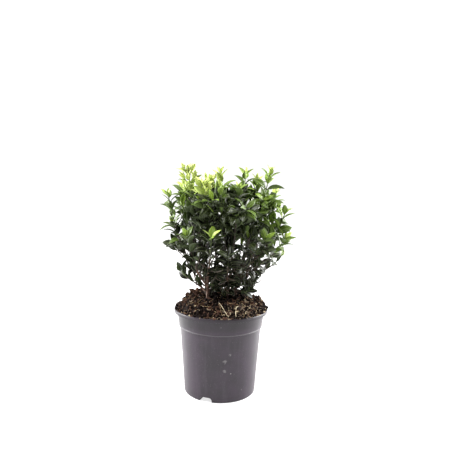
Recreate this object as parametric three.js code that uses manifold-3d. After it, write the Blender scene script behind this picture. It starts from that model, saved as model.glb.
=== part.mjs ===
// Potted euonymus: a young evergreen shrub of six leafy stems in a round nursery pot.
// Millimetres, +Z up, -Y to the front. The origin is the middle of the pot's flat underside.

import * as THREE from 'three';
import { mergeVertices } from 'three/addons/utils/BufferGeometryUtils.js';
import Module from 'manifold-3d';

const solids = await Module();
solids.setup();

// Driving dimensions: the pot
const POT_HEIGHT = 111.5;
const LIP_RADIUS = 61.5;
const LIP_SKIRT = 4.3;
const LIP_EDGE = 0.9;
const LIP_THICKNESS = 3.3;
const BAND_TOP_RADIUS = 57.6;
const BAND_FOOT_RADIUS = 54.9;
const RING_HEIGHT = 88.9;
const RING_STEP = 1;
const BODY_TOP_RADIUS = 53.3;
const BODY_FOOT_RADIUS = 47;
const BASE_RADIUS = 46.6;
const BASE_CORNER = 1.2;
const BEVEL_HEIGHT = 5;
const WALL = 1.2;
const POT_SIDES = 32;

// Driving dimensions: the drain notches under the pot's edge
const NOTCH_COUNT = 3;
const NOTCH_TURN = 248;
const NOTCH_WIDTH = 17;
const NOTCH_HEIGHT = 6.5;
const NOTCH_DEPTH = 15;
const NOTCH_ROUND = 0.6;
const NOTCH_OVERSHOOT = 6;
const DRAIN_RADIUS = 2.5;
const HOLE_SIDES = 10;

// Driving dimensions: the heaped soil
const CLEAR = 0.3;
const HEAP_RISE = 15.5;
const HEAP_POWER = 6;
const HEAP_RINGS = [0.975, 0.93, 0.86, 0.72, 0.5, 0.25];
const LUMP = 0.8;
const COARSE_LUMPS = { x: 0.31, y: 0.27, lead: 1.2, lag: 0.4 };
const FINE_LUMPS = { x: 0.63, y: 0.51, share: 0.6 };
const SOIL_SIDES = 24;

// Driving dimensions: stems and boughs
const STEM_FLARE = 2.9;
const STEM_RADIUS = 1.9;
const STEM_TIP_RADIUS = 1.3;
const FLARE_SHARE = 0.25;
const STEM_SEAT = 1.2;
const BOUGH_RADIUS = 1.3;
const BOUGH_TIP_RADIUS = 1.1;
const BOUGH_LENGTH = 24;
const BOUGH_SHARE = 0.35;
const BOUGH_RISE = 0.9;
const FIRST_BOUGH = 11;
const BOUGH_STEP = 9;
const LEADER_CLEARANCE = 8;
const UPTURN = 0.6;

// Driving dimensions: leaves, each pair changing by its gain from the shoot's tip down
const LEAF_LENGTH = 28;
const YOUNG_LENGTH = 0.56;
const LENGTH_GAIN = 0.11;
const LENGTH_SPREAD = 0.2;
const LEAF_BREADTH = 0.6;
const YOUNG_BREADTH = 0.62;
const BREADTH_GAIN = 0.1;
const LEAF_THICKNESS = 0.045;
const LEAF_WIDEST = 0.5;
const LEAF_ARCH = 0.16;
const LEAF_FOLD = 0.1;
const LEAF_SINK = 0.4;
const LEAF_OVERHANG = 8;
const YOUNG_ANGLE = 20;
const ANGLE_GAIN = 9;
const FULL_ANGLE = 56;
const ANGLE_SPREAD = 12;
const DROOP_GAIN = 0.03;
const FULL_DROOP = 0.2;
const CLOSING = [1, 0.72, 0.48];
const CLOSED_LENGTH = 0.75;

// Driving dimensions: shoots and side twigs
const TIP_SETBACK = 1;
const FIRST_GAP = 4.5;
const GAP_GAIN = 2;
const INTERNODE = 12.5;
const GAP_SPREAD = 0.24;
const TURN_SPREAD = 0.3;
const LEAF_TURN_SPREAD = 0.4;
const SHOOT_BARE = 3;
const SHOOT_TIP_RADIUS = 0.9;
const TWIG_RADIUS = 1;
const TWIG_LENGTH = 30;
const TWIG_SHORTEST = 0.55;
const TWIG_BARE = 9;
const TWIG_FROM = 4;
const TWIG_SHARE = 0.45;
const TWIG_ANGLE = 46;
const TWIG_CUTS = [1, 0.7];

// Driving dimensions: the crown's outline and the room round each piece
const CROWN_LOW = new THREE.Vector3(-81, -80, 0);
const CROWN_HIGH = new THREE.Vector3(95, 80, 301);
const SKIRT_CENTER = 8;
const SKIRT_RADIUS = 42;
const SKIRT_HEIGHT = 118;
const SKIRT_RISE = 1.9;
const SPACE_MARGIN = 0.9;
const SOIL_MARGIN = 1.5;
const LIP_MARGIN = 2;

// Sides and steps of each kind of limb, and the finest detail kept after joining
const STEM_SIDES = 6;
const BOUGH_SIDES = 5;
const TWIG_SIDES = 3;
const CURVE_STEPS = 24;
const STEM_STEPS = 5;
const BOUGH_STEPS = 3;
const SHOOT_STEPS = 6;
const TWIG_STEPS = 2;
const TWIG_ROOT_STEPS = 6;
const SEAM = 1e-4;
const WELD = 0.004;

// Each stem: the spot where it leaves the soil, then the leaf tips its shoots reach, leader first.
const STEMS = [
  { name: 'front_left', foot: [-17, -19],
    tips: [[-24, -36, 281], [-12, -62, 219], [-44, -42, 218], [-55, -18, 170]] },
  { name: 'left', foot: [-20, 4],
    tips: [[-46, 6, 299], [-72, -8, 266], [-69, 20, 228]] },
  { name: 'back_left', foot: [-6, 17],
    tips: [[-17, 20, 285], [-56, 40, 281], [-10, 66, 243]] },
  { name: 'front', foot: [8, -12],
    tips: [[-4, -6, 296], [19, -41, 277], [56, -46, 216], [8, -66, 196], [39, -25, 144]] },
  { name: 'right', foot: [19, 0],
    tips: [[61, -6, 297], [85, 2, 246], [83, -26, 215], [86, 16, 188]] },
  { name: 'back_right', foot: [10, 18],
    tips: [[31, 30, 296], [46, 10, 288], [72, 18, 270], [52, 54, 248]] },
];

const UP = new THREE.Vector3(0, 0, 1);
const CROWN = new THREE.Box3(CROWN_LOW, CROWN_HIGH);
const radians = THREE.MathUtils.degToRad;

const materials = {
  plastic: new THREE.MeshStandardMaterial({ color: '#575259', roughness: 0.6 }),
  soil: new THREE.MeshStandardMaterial({ color: '#4a3322', roughness: 0.95 }),
  bark: new THREE.MeshStandardMaterial({ color: '#5c4634', roughness: 0.85 }),
  foliage: new THREE.MeshStandardMaterial({ color: '#4f7a35', roughness: 0.5 }),
};

// Repeatable random numbers from 0 to 1, one run of them for each set of keys.
function seeded(...keys) {
  let state = keys.reduce((sum, key) => (Math.imul(sum, 31) + key) | 0, 17) >>> 0;
  return () => {
    state = (state + 0x6d2b79f5) >>> 0;
    let mixed = Math.imul(state ^ (state >>> 15), state | 1);
    mixed ^= mixed + Math.imul(mixed ^ (mixed >>> 7), mixed | 61);
    return ((mixed ^ (mixed >>> 14)) >>> 0) / 4294967296;
  };
}

// A closed solid from a geometry, with its seams welded and its empty faces left out.
function solidOf(geometry) {
  const bare = geometry.clone();
  for (const name of Object.keys(bare.attributes)) {
    if (name !== 'position') bare.deleteAttribute(name);
  }
  const welded = mergeVertices(bare, SEAM);
  const corners = [];
  const index = welded.index.array;
  for (let i = 0; i < index.length; i += 3) {
    const [a, b, c] = index.subarray(i, i + 3);
    if (a !== b && b !== c && c !== a) corners.push(a, b, c);
  }
  return new solids.Manifold(new solids.Mesh({
    numProp: 3,
    vertProperties: new Float32Array(welded.attributes.position.array),
    triVerts: new Uint32Array(corners),
  }));
}

// The one main body of a solid: loose scraps are dropped and sealed hollows filled.
function mainBody(solid) {
  return solid.decompose().reduce((best, body) => (body.volume() > best.volume() ? body : best));
}

function meshOf(name, solid, material) {
  const { vertProperties, triVerts } = mainBody(solid).simplify(WELD).getMesh();
  const geometry = new THREE.BufferGeometry();
  geometry.setAttribute('position', new THREE.BufferAttribute(vertProperties, 3));
  geometry.setIndex(new THREE.BufferAttribute(triVerts, 1));
  geometry.computeVertexNormals();
  const mesh = new THREE.Mesh(geometry, material);
  mesh.name = name;
  return mesh;
}

// A turned solid from [radius, height] corners, listed from the foot up the outside.
function turned(profile, sides) {
  const points = profile.map(([radius, height]) => new THREE.Vector2(radius, height));
  return new THREE.LatheGeometry(points, sides).rotateX(Math.PI / 2);
}

// Pot

const OUTSIDE = [
  [0, 0],
  [BASE_RADIUS - BASE_CORNER, 0],
  [BASE_RADIUS, BASE_CORNER],
  [BODY_FOOT_RADIUS, BEVEL_HEIGHT],
  [BODY_TOP_RADIUS, RING_HEIGHT - RING_STEP],
  [BAND_FOOT_RADIUS, RING_HEIGHT],
  [BAND_TOP_RADIUS, POT_HEIGHT - LIP_THICKNESS],
  [LIP_RADIUS - LIP_EDGE, POT_HEIGHT - LIP_THICKNESS],
  [LIP_RADIUS - LIP_EDGE, POT_HEIGHT - LIP_SKIRT],
  [LIP_RADIUS, POT_HEIGHT - LIP_SKIRT],
  [LIP_RADIUS, POT_HEIGHT - LIP_EDGE],
  [LIP_RADIUS - LIP_EDGE, POT_HEIGHT],
];

const INSIDE = [
  [BAND_TOP_RADIUS - WALL + LIP_EDGE, POT_HEIGHT],
  [BAND_TOP_RADIUS - WALL, POT_HEIGHT - LIP_EDGE],
  [BAND_FOOT_RADIUS - WALL, RING_HEIGHT],
  [BODY_TOP_RADIUS - WALL, RING_HEIGHT - RING_STEP],
  [BODY_FOOT_RADIUS - WALL, BEVEL_HEIGHT],
  [BASE_RADIUS - WALL, WALL],
  [0, WALL],
];

// A round-topped tunnel standing on the ground, run inward from outside the pot's wall.
function tunnel(width, height, depth, ground) {
  const round = height * NOTCH_ROUND;
  const half = width / 2;
  const arch = new THREE.Shape();
  arch.moveTo(-half, ground);
  arch.lineTo(half, ground);
  arch.lineTo(half, height - round);
  arch.quadraticCurveTo(half, height, half - round, height);
  arch.lineTo(round - half, height);
  arch.quadraticCurveTo(-half, height, -half, height - round);
  arch.closePath();
  const run = depth + NOTCH_OVERSHOOT;
  const bar = new THREE.ExtrudeGeometry(arch, { depth: run, bevelEnabled: false, curveSegments: 3 });
  return bar.rotateX(Math.PI / 2).translate(0, depth - BASE_RADIUS, 0).rotateZ(Math.PI / 2);
}

function atNotches(geometry) {
  const turns = Array.from({ length: NOTCH_COUNT }, (_, i) => NOTCH_TURN + (360 * i) / NOTCH_COUNT);
  return turns.map((turn) => solidOf(geometry.clone().rotateZ(radians(turn))));
}

// The raised floor over a notch, which keeps the soil out of it.
function notchHousing(grow) {
  const thickness = WALL + grow;
  return tunnel(
    NOTCH_WIDTH + 2 * thickness, NOTCH_HEIGHT + thickness, NOTCH_DEPTH + thickness, WALL / 2);
}

function potSolid() {
  const filled = solidOf(turned([...OUTSIDE, [0, POT_HEIGHT]], POT_SIDES));
  const shell = solidOf(turned([...OUTSIDE, ...INSIDE], POT_SIDES));
  const housings = atNotches(notchHousing(0)).map((housing) => housing.intersect(filled));
  const drain = new THREE.CylinderGeometry(DRAIN_RADIUS, DRAIN_RADIUS, 3 * NOTCH_HEIGHT, HOLE_SIDES)
    .rotateX(Math.PI / 2)
    .translate(BASE_RADIUS - NOTCH_DEPTH / 2, 0, 0);
  const cuts = [
    ...atNotches(tunnel(NOTCH_WIDTH, NOTCH_HEIGHT, NOTCH_DEPTH, -WALL)),
    ...atNotches(drain),
  ];
  return solids.Manifold.union([shell, ...housings]).subtract(solids.Manifold.union(cuts));
}

// Soil

const SOIL_RADIUS = BAND_TOP_RADIUS - WALL - CLEAR;

// Height of the soil's heaped, lumpy top.
function soilTop(x, y) {
  const out = Math.min(1, Math.hypot(x, y) / SOIL_RADIUS);
  const swell = 1 - out ** HEAP_POWER;
  const { lead, lag } = COARSE_LUMPS;
  const coarse = Math.sin(COARSE_LUMPS.x * x + lead) * Math.cos(COARSE_LUMPS.y * y - lag);
  const fine = FINE_LUMPS.share * Math.sin(FINE_LUMPS.x * x + FINE_LUMPS.y * y);
  return POT_HEIGHT + swell * (HEAP_RISE + LUMP * (coarse + fine));
}

function soilSolid(stems) {
  const wall = INSIDE.slice(1, -2).reverse().map(([radius, height]) => [radius - CLEAR, height]);
  const profile = [
    [0, WALL + CLEAR],
    [BASE_RADIUS - WALL - CLEAR, WALL + CLEAR],
    ...wall,
    ...HEAP_RINGS.map((share) => [share * SOIL_RADIUS, POT_HEIGHT]),
    [0, POT_HEIGHT],
  ];
  const heap = turned(profile, SOIL_SIDES);
  const corner = heap.attributes.position;
  for (let i = 0; i < corner.count; i++) {
    const [x, y, z] = [corner.getX(i), corner.getY(i), corner.getZ(i)];
    if (z > POT_HEIGHT - LIP_EDGE / 2) corner.setZ(i, soilTop(x, y));
  }
  const seatRadius = STEM_FLARE + 2 * CLEAR;
  const seats = stems.map(({ axis: [foot] }) => {
    const seat = new THREE.CylinderGeometry(seatRadius, seatRadius, HEAP_RISE, HOLE_SIDES);
    seat.rotateX(Math.PI / 2).translate(foot.x, foot.y, foot.z - CLEAR + HEAP_RISE / 2);
    return solidOf(seat);
  });
  const housings = atNotches(notchHousing(CLEAR));
  return solidOf(heap).subtract(solids.Manifold.union([...seats, ...housings]));
}

// Limbs

// A smooth line from one point to another that leaves and arrives in the given directions.
function bend(start, leaving, end, arriving) {
  const pull = start.distanceTo(end) / 3;
  const curve = new THREE.CubicBezierCurve3(
    start,
    start.clone().addScaledVector(leaving, pull),
    end.clone().addScaledVector(arriving, -pull),
    end,
  );
  return curve.getPoints(CURVE_STEPS);
}

function lengthOf(axis) {
  return axis.slice(1).reduce((sum, point, i) => sum + point.distanceTo(axis[i]), 0);
}

// The point at a distance along a line, and the direction there.
function walk(axis, distance) {
  let left = distance;
  let i = 1;
  while (i < axis.length - 1 && left > axis[i].distanceTo(axis[i - 1])) {
    left -= axis[i].distanceTo(axis[i - 1]);
    i += 1;
  }
  const ahead = axis[i].clone().sub(axis[i - 1]).normalize();
  return { at: axis[i - 1].clone().addScaledVector(ahead, left), ahead };
}

// A stretch of a line, cut into even steps.
function stretch(axis, from, to, steps) {
  return Array.from({ length: steps + 1 }, (_, i) => walk(axis, from + ((to - from) * i) / steps).at);
}

// Two directions square to a line and to each other.
function across(ahead) {
  const guide = Math.abs(ahead.z) > Math.SQRT1_2 ? new THREE.Vector3(0, 1, 0) : UP;
  const first = guide.clone().cross(ahead).normalize();
  return [first, ahead.clone().cross(first)];
}

// A tapering rod bent along a line, with a flat cut at each end.
function limbGeometry(axis, radiusAt, sides) {
  const steps = axis.length - 1;
  const rod = new THREE.CylinderGeometry(1, 1, 1, sides, steps);
  const [first] = across(axis[steps].clone().sub(axis[0]).normalize());
  const corner = rod.attributes.position;
  for (let i = 0; i < corner.count; i++) {
    const place = Math.round((corner.getY(i) + 0.5) * steps);
    const ahead = axis[Math.min(steps, place + 1)].clone().sub(axis[Math.max(0, place - 1)]).normalize();
    const right = first.clone().addScaledVector(ahead, -first.dot(ahead)).normalize();
    const front = ahead.clone().cross(right);
    const radius = radiusAt(place / steps);
    const spot = axis[place].clone()
      .addScaledVector(right, radius * corner.getX(i))
      .addScaledVector(front, -radius * corner.getZ(i));
    corner.setXYZ(i, spot.x, spot.y, spot.z);
  }
  return rod;
}

const taper = (foot, tip) => (share) => foot + (tip - foot) * share;

// A stem's radius: an even taper, with a flare where it leaves the soil.
function stemRadius(share) {
  const flare = (STEM_FLARE - STEM_RADIUS) * Math.max(0, 1 - share / FLARE_SHARE) ** 2;
  return taper(STEM_RADIUS, STEM_TIP_RADIUS)(share) + flare;
}

// Where a shoot's own line ends, short of the leaf tips it reaches.
function shootEnd(start, reach) {
  const arriving = reach.clone().sub(start).normalize().addScaledVector(UP, UPTURN).normalize();
  return { end: reach.clone().addScaledVector(arriving, -LEAF_OVERHANG), arriving };
}

// A side bough from a stem's flank, and the line of the leafy shoot that it carries.
function growBough(stem, height, tip) {
  const fork = walk(stem.line, height);
  const outward = tip.clone().sub(fork.at).setZ(0).normalize();
  const leaving = outward.clone().addScaledVector(UP, BOUGH_RISE).normalize();
  const offset = stemRadius(height / stem.length) + CLEAR + BOUGH_RADIUS * leaving.z;
  const start = fork.at.clone().addScaledVector(outward, offset);
  const { end, arriving } = shootEnd(start, tip);
  const whole = bend(start, leaving, end, arriving);
  const length = Math.min(BOUGH_LENGTH, BOUGH_SHARE * lengthOf(whole));
  return {
    axis: stretch(whole, 0, length, BOUGH_STEPS),
    shootAxis: stretch(whole, length + CLEAR, lengthOf(whole), SHOOT_STEPS),
  };
}

// One stem with its leader, its side boughs and the line of each leafy shoot.
function growStem({ name, foot: [x, y], tips }) {
  const foot = new THREE.Vector3(x, y, soilTop(x, y) - STEM_SEAT);
  const [leaderTip, ...sideTips] = tips.map((tip) => new THREE.Vector3(...tip));
  const { end, arriving } = shootEnd(foot, leaderTip);
  const line = bend(foot, UP, end, arriving);
  const length = STEM_SEAT + FIRST_BOUGH + BOUGH_STEP * (sideTips.length - 1) + LEADER_CLEARANCE;
  const leader = { name: `${name}_1`, axis: stretch(line, length + CLEAR, lengthOf(line), SHOOT_STEPS) };
  const lowestFirst = sideTips.sort((a, b) => a.z - b.z);
  const grown = lowestFirst.map((tip, i) => (
    growBough({ line, length }, STEM_SEAT + FIRST_BOUGH + BOUGH_STEP * i, tip)));
  return {
    name,
    axis: stretch(line, 0, length, STEM_STEPS),
    boughs: grown.map(({ axis }, i) => ({ name: `${name}_bough_${i + 1}`, axis })),
    shoots: [leader, ...grown.map(({ shootAxis }, i) => ({ name: `${name}_${i + 2}`, axis: shootAxis }))],
  };
}

// Foliage

// The gap between a point and the nearest spot on a line.
function gapTo(axis, point) {
  const nearest = new THREE.Vector3();
  const run = new THREE.Line3();
  let best = Infinity;
  for (let i = 1; i < axis.length; i++) {
    run.set(axis[i - 1], axis[i]).closestPointToPoint(point, true, nearest);
    best = Math.min(best, nearest.distanceTo(point));
  }
  return best;
}

// Whether a point lies in a shoot's own space: in the crown, above its narrowing skirt, the soil
// and the lip, clear of every limb, and nearer to its own line than to any other shoot's.
function inSpace(point, shoot, plant) {
  if (!CROWN.containsPoint(point)) return false;
  const out = Math.hypot(point.x - SKIRT_CENTER, point.y);
  if (point.z < SKIRT_HEIGHT + SKIRT_RISE * (out - SKIRT_RADIUS)) return false;
  const overPot = Math.hypot(point.x, point.y) < LIP_RADIUS + LIP_MARGIN;
  if (overPot && point.z < soilTop(point.x, point.y) + SOIL_MARGIN) return false;
  if (plant.limbs.some((axis) => gapTo(axis, point) < STEM_RADIUS + SPACE_MARGIN)) return false;
  const own = gapTo(shoot.axis, point) + SPACE_MARGIN;
  return plant.shoots.every((other) => other === shoot || gapTo(other.axis, point) > own);
}

// The corners of a leaf blade: root, tip, two edges and the ridge at its widest place.
function leafCorners({ root, along, normal, length, breadth, arch }) {
  const side = along.clone().cross(normal);
  const spot = (forward, sideways, over) => root.clone()
    .addScaledVector(along, forward * length)
    .addScaledVector(side, sideways * length)
    .addScaledVector(normal, over * length);
  const edge = arch + LEAF_FOLD * breadth;
  return {
    root: root.clone().addScaledVector(along, -LEAF_SINK),
    tip: spot(1, 0, 0),
    left: spot(LEAF_WIDEST, -breadth / 2, edge),
    right: spot(LEAF_WIDEST, breadth / 2, edge),
    top: spot(LEAF_WIDEST, 0, arch + LEAF_THICKNESS / 2),
    under: spot(LEAF_WIDEST, 0, arch - LEAF_THICKNESS / 2),
  };
}

// A blade of eight faces, its corners taken from an octahedron's.
function leafGeometry(leaf) {
  const { root, tip, left, right, top, under } = leafCorners(leaf);
  const blade = new THREE.OctahedronGeometry(1);
  const corner = blade.attributes.position;
  for (let i = 0; i < corner.count; i++) {
    const [x, y, z] = [corner.getX(i), corner.getY(i), corner.getZ(i)].map(Math.round);
    let spot = z > 0 ? top : under;
    if (y !== 0) spot = y > 0 ? tip : root;
    if (x !== 0) spot = x > 0 ? right : left;
    corner.setXYZ(i, spot.x, spot.y, spot.z);
  }
  return blade;
}

// Whether a leaf keeps to its shoot's space and crosses no leaf of another node.
function leafFits(leaf, crowd) {
  const { tip, left, right, top } = leafCorners(leaf);
  if (![tip, left, right, top].every(crowd.inside)) return false;
  const others = crowd.leaves.filter(({ root }) => root !== leaf.root);
  return others.every(({ blade }) => blade.intersect(leaf.blade).isEmpty());
}

// Grows a leaf at a node, closed up toward its twig until it fits; without room there is none.
function addLeaf(node, { turn, angle, length, breadth, droop }, crowd) {
  const [first, second] = across(node.ahead);
  const outward = first.multiplyScalar(Math.cos(turn)).addScaledVector(second, Math.sin(turn));
  for (const share of CLOSING) {
    const open = radians(angle * share);
    const along = node.ahead.clone().multiplyScalar(Math.cos(open))
      .addScaledVector(outward, Math.sin(open))
      .addScaledVector(UP, -droop * share)
      .normalize();
    const leaf = {
      root: node.at,
      along,
      normal: node.ahead.clone().addScaledVector(along, -node.ahead.dot(along)).normalize(),
      length: length * (CLOSED_LENGTH + (1 - CLOSED_LENGTH) * share),
      breadth,
      arch: LEAF_ARCH * Math.sin(open),
    };
    leaf.blade = solidOf(leafGeometry(leaf));
    if (leafFits(leaf, crowd)) {
      crowd.leaves.push(leaf);
      return;
    }
  }
}

// Adds leaves in crossed pairs from the tip of a line down to its bare foot, young ones upright.
// Returns the nodes that they grow from.
function addPairs(axis, bare, keys, crowd) {
  const nodes = [];
  let place = lengthOf(axis) - TIP_SETBACK;
  let turn = seeded(...keys)() * Math.PI;
  for (let k = 0; place > bare; k++) {
    const random = seeded(...keys, k);
    const vary = (spread) => spread * (random() - 0.5);
    const node = walk(axis, place);
    const length = LEAF_LENGTH * Math.min(1, YOUNG_LENGTH + LENGTH_GAIN * k) * (1 + vary(LENGTH_SPREAD));
    const angle = Math.min(FULL_ANGLE, YOUNG_ANGLE + ANGLE_GAIN * k) + vary(ANGLE_SPREAD);
    const breadth = LEAF_BREADTH * Math.min(1, YOUNG_BREADTH + BREADTH_GAIN * k);
    const droop = Math.min(FULL_DROOP, DROOP_GAIN * k);
    for (const half of [0, Math.PI]) {
      const leafTurn = turn + half + vary(LEAF_TURN_SPREAD);
      addLeaf(node, { turn: leafTurn, angle, length, breadth, droop }, crowd);
    }
    nodes.push({ ...node, turn, k });
    turn += Math.PI / 2 + vary(TURN_SPREAD);
    place -= Math.min(INTERNODE, FIRST_GAP + GAP_GAIN * k) * (1 + vary(GAP_SPREAD));
  }
  return nodes;
}

// The line of a side twig from the angle of a leaf, or none where it would leave its space.
function twigLine({ at, ahead }, turn, length, crowd) {
  const [first, second] = across(ahead);
  const open = radians(TWIG_ANGLE);
  const leaving = ahead.clone().multiplyScalar(Math.cos(open))
    .addScaledVector(first, Math.sin(open) * Math.cos(turn))
    .addScaledVector(second, Math.sin(open) * Math.sin(turn));
  const arriving = leaving.clone().addScaledVector(UP, UPTURN).normalize();
  const lines = TWIG_CUTS.map((cut) => (
    bend(at, leaving, at.clone().addScaledVector(leaving, length * cut), arriving)));
  return lines.find((line) => line.slice(TWIG_ROOT_STEPS).every(crowd.inside));
}

// A shoot: its leafy leader, and side twigs from the angles of its lower leaves.
function growShoot(shoot, number, plant) {
  const crowd = { leaves: [], inside: (point) => inSpace(point, shoot, plant) };
  const twigs = [];
  for (const node of addPairs(shoot.axis, SHOOT_BARE, [number], crowd)) {
    const random = seeded(number, node.k, 1);
    const chosen = random() < TWIG_SHARE;
    const turn = node.turn + (random() < 0.5 ? 0 : Math.PI);
    const length = TWIG_LENGTH * (TWIG_SHORTEST + (1 - TWIG_SHORTEST) * random());
    const line = chosen && node.k >= TWIG_FROM && twigLine(node, turn, length, crowd);
    if (line) {
      const axis = stretch(line, 0, lengthOf(line), TWIG_STEPS);
      twigs.push(axis);
      addPairs(axis, TWIG_BARE, [number, node.k, 2], crowd);
    }
  }
  return { leaves: crowd.leaves, twigs };
}

function shootSolid(shoot, number, plant) {
  const { leaves, twigs } = growShoot(shoot, number, plant);
  const wood = [
    limbGeometry(shoot.axis, taper(BOUGH_TIP_RADIUS, SHOOT_TIP_RADIUS), TWIG_SIDES),
    ...twigs.map((twig) => limbGeometry(twig, taper(TWIG_RADIUS, SHOOT_TIP_RADIUS), TWIG_SIDES)),
  ];
  return solids.Manifold.union([...wood.map(solidOf), ...leaves.map(({ blade }) => blade)]);
}

// The whole plant

const stems = STEMS.map(growStem);
const boughs = stems.flatMap((stem) => stem.boughs);
const shoots = stems.flatMap((stem) => stem.shoots);
const plant = { shoots, limbs: [...stems, ...boughs].map(({ axis }) => axis) };

const group = new THREE.Group();
group.name = 'potted_euonymus';
group.add(meshOf('pot', potSolid(), materials.plastic));
group.add(meshOf('soil', soilSolid(stems), materials.soil));
for (const { name, axis } of stems) {
  group.add(meshOf(`stem_${name}`, solidOf(limbGeometry(axis, stemRadius, STEM_SIDES)), materials.bark));
}
for (const { name, axis } of boughs) {
  const bough = limbGeometry(axis, taper(BOUGH_RADIUS, BOUGH_TIP_RADIUS), BOUGH_SIDES);
  group.add(meshOf(name, solidOf(bough), materials.bark));
}
shoots.forEach((shoot, i) => {
  group.add(meshOf(`foliage_${shoot.name}`, shootSolid(shoot, i, plant), materials.foliage));
});

export default group;
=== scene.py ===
# Potted euonymus: a young evergreen shrub of leafy stems in a round nursery pot, on a pale floor.
# Shapes are worked out in millimetres and made in metres, +Z up, -Y towards the camera.

import math

import bmesh
import bpy
import numpy as np
from mathutils import Matrix, Quaternion, Vector, noise


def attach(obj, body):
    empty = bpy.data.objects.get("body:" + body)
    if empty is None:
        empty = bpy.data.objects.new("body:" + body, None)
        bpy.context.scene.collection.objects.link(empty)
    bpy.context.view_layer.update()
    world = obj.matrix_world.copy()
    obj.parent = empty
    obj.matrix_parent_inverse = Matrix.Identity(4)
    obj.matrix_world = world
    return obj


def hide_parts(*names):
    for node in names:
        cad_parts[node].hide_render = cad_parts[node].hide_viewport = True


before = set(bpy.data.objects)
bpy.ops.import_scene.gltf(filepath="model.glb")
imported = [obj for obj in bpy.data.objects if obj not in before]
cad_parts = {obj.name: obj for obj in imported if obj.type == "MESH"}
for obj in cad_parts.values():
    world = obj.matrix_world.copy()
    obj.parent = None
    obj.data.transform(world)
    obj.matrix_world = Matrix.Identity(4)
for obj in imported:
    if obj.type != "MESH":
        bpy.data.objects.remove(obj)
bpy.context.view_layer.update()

MM = 0.001
BODY = "root"
UP = np.array([0.0, 0.0, 1.0])
WHITE = (1.0, 1.0, 1.0, 1.0)

# Camera: its place, its tilt and its small roll
CAMERA_PLACE = (3.5, -649.02, 282.57)
CAMERA_PITCH = 5.45
CAMERA_ROLL = 1.05
CAMERA_LENS = 40.0
CAMERA_SENSOR = 36.0
CAMERA_NEAR = 0.01

# Light: a white tent over a softly lit table, dimmer on its open side in front, with soft boxes round it
TENT_FRONT = 0.152
TENT_BACK = 1.1
TENT_TOP = 0.4
TENT_TURN = (-0.85, 0.25)
TENT_RISE = (0.1, 1.0)
SOFT_BOXES = [
    {"name": "box_top", "place": (-0.2, -0.25, 1.5), "size": 1.2, "power": 40.0},
    {"name": "box_left", "place": (-1.2, 0.35, 0.5), "size": 1.0, "power": 58.0},
    {"name": "box_right", "place": (1.2, 0.45, 0.5), "size": 1.0, "power": 66.0},
]
AIM = (0.0, 0.0, 0.17)
TABLE_GLOW = 0.75
FLOOR_SIZE = 8.0
FLOOR_SHADES = ((0.37, 0.37, 0.37), (0.4, 0.4, 0.398))

# Pot
POT_HEIGHT = 111.5
LIP_RADIUS = 61.5
LIP_SKIRT = 4.3
LIP_EDGE = 0.9
LIP_THICKNESS = 3.3
BAND_TOP_RADIUS = 57.6
BAND_FOOT_RADIUS = 54.9
BAND_FLARE = 0.1
RING_HEIGHT = 88.9
RING_STEP = 1.0
RING_BEAD = 0.28
RING_LOW = 0.3
RING_HIGH = 0.7
RING_END = 1.2
BODY_TOP_RADIUS = 53.3
BODY_FOOT_RADIUS = 47.0
BASE_RADIUS = 46.6
BASE_CORNER = 1.2
BEVEL_HEIGHT = 5.0
WALL = 1.2
POT_SIDES = 160
FILLET_STEPS = 4
SHARP_ANGLE = 32.0
NOTCH_TURNS = (248.0, 8.0, 128.0)
NOTCH_WIDTH = 17.0
NOTCH_HEIGHT = 6.5
NOTCH_DEPTH = 15.0
NOTCH_ROUND = 0.6
NOTCH_ARC = 7
NOTCH_OVERSHOOT = 6.0
DRAIN_RADIUS = 2.5
DRAIN_SIDES = 24

# The pot's plastic; each scuff has its x, its height and its size
PLASTIC_SHADES = ((0.017, 0.0123, 0.0178), (0.0255, 0.0161, 0.0269))
# Painted reflection: the pale colour of upright streaks over the plastic
STREAK_REFLECTION_COLOR = (0.045, 0.037, 0.047)
DUST_COLOR = (0.16, 0.15, 0.15)
SPECK_COLOR = (0.34, 0.32, 0.32)
# Painted shade under the lip: the colour that darkens the band above the ring, and the heights it rises over
LIP_SHADE_COLOR = (0.008, 0.0052, 0.0078)
LIP_SHADE_RISE = (2.0, 9.0)
# Painted highlight: a pale line along the ring's bead, its height and how it fades
RING_HIGHLIGHT_COLOR = (0.1, 0.093, 0.1)
RING_LINE = 0.4
RING_FADE = (1.1, 0.3)
SCUFFS = [(0.5, 101.0, 1.5), (23.4, 102.5, 1.2), (13.0, 64.0, 1.8), (6.6, 55.5, 2.8), (6.6, 43.0, 2.3)]
SCUFF_COLOR = (0.12, 0.11, 0.115)
SCUFF_CORE = 0.4
SCUFF_RAGGED = 1.1

# Soil: a heap with lumps, clods and grains
CLEAR = 0.3
SOIL_RADIUS = BAND_TOP_RADIUS - WALL - CLEAR
SOIL_SIDES = 150
SOIL_RINGS = 56
HEAP_RISE = 15.5
HEAP_POWER = 6
LUMP = 0.8
COARSE_LUMPS = {"x": 0.31, "y": 0.27, "lead": 1.2, "lag": 0.4}
FINE_LUMPS = {"x": 0.63, "y": 0.51, "share": 0.6}
SOIL_SINK = 0.9
SOIL_RELIEF = [
    {"size": 6.0, "height": 1.4, "layer": 3.7, "fade": 0.8, "octaves": 4},
    {"size": 1.7, "height": 0.6, "layer": 9.1, "fade": 0.7, "octaves": 3},
]
LACUNARITY = 2.0

# Looks of the soil and of what lies on it: darkest colour, lightest colour, grain
PEAT_LOOKS = ((0.002, 0.001, 0.0008), (0.01, 0.0055, 0.004), 260.0)
CHIP_LOOKS = ((0.024, 0.011, 0.0075), (0.095, 0.048, 0.03), 300.0)
FIBRE_LOOKS = ((0.17, 0.11, 0.055), (0.4, 0.29, 0.16), 500.0)
STRAW_LOOKS = ((0.45, 0.36, 0.22), (0.75, 0.66, 0.48), 500.0)

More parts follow.
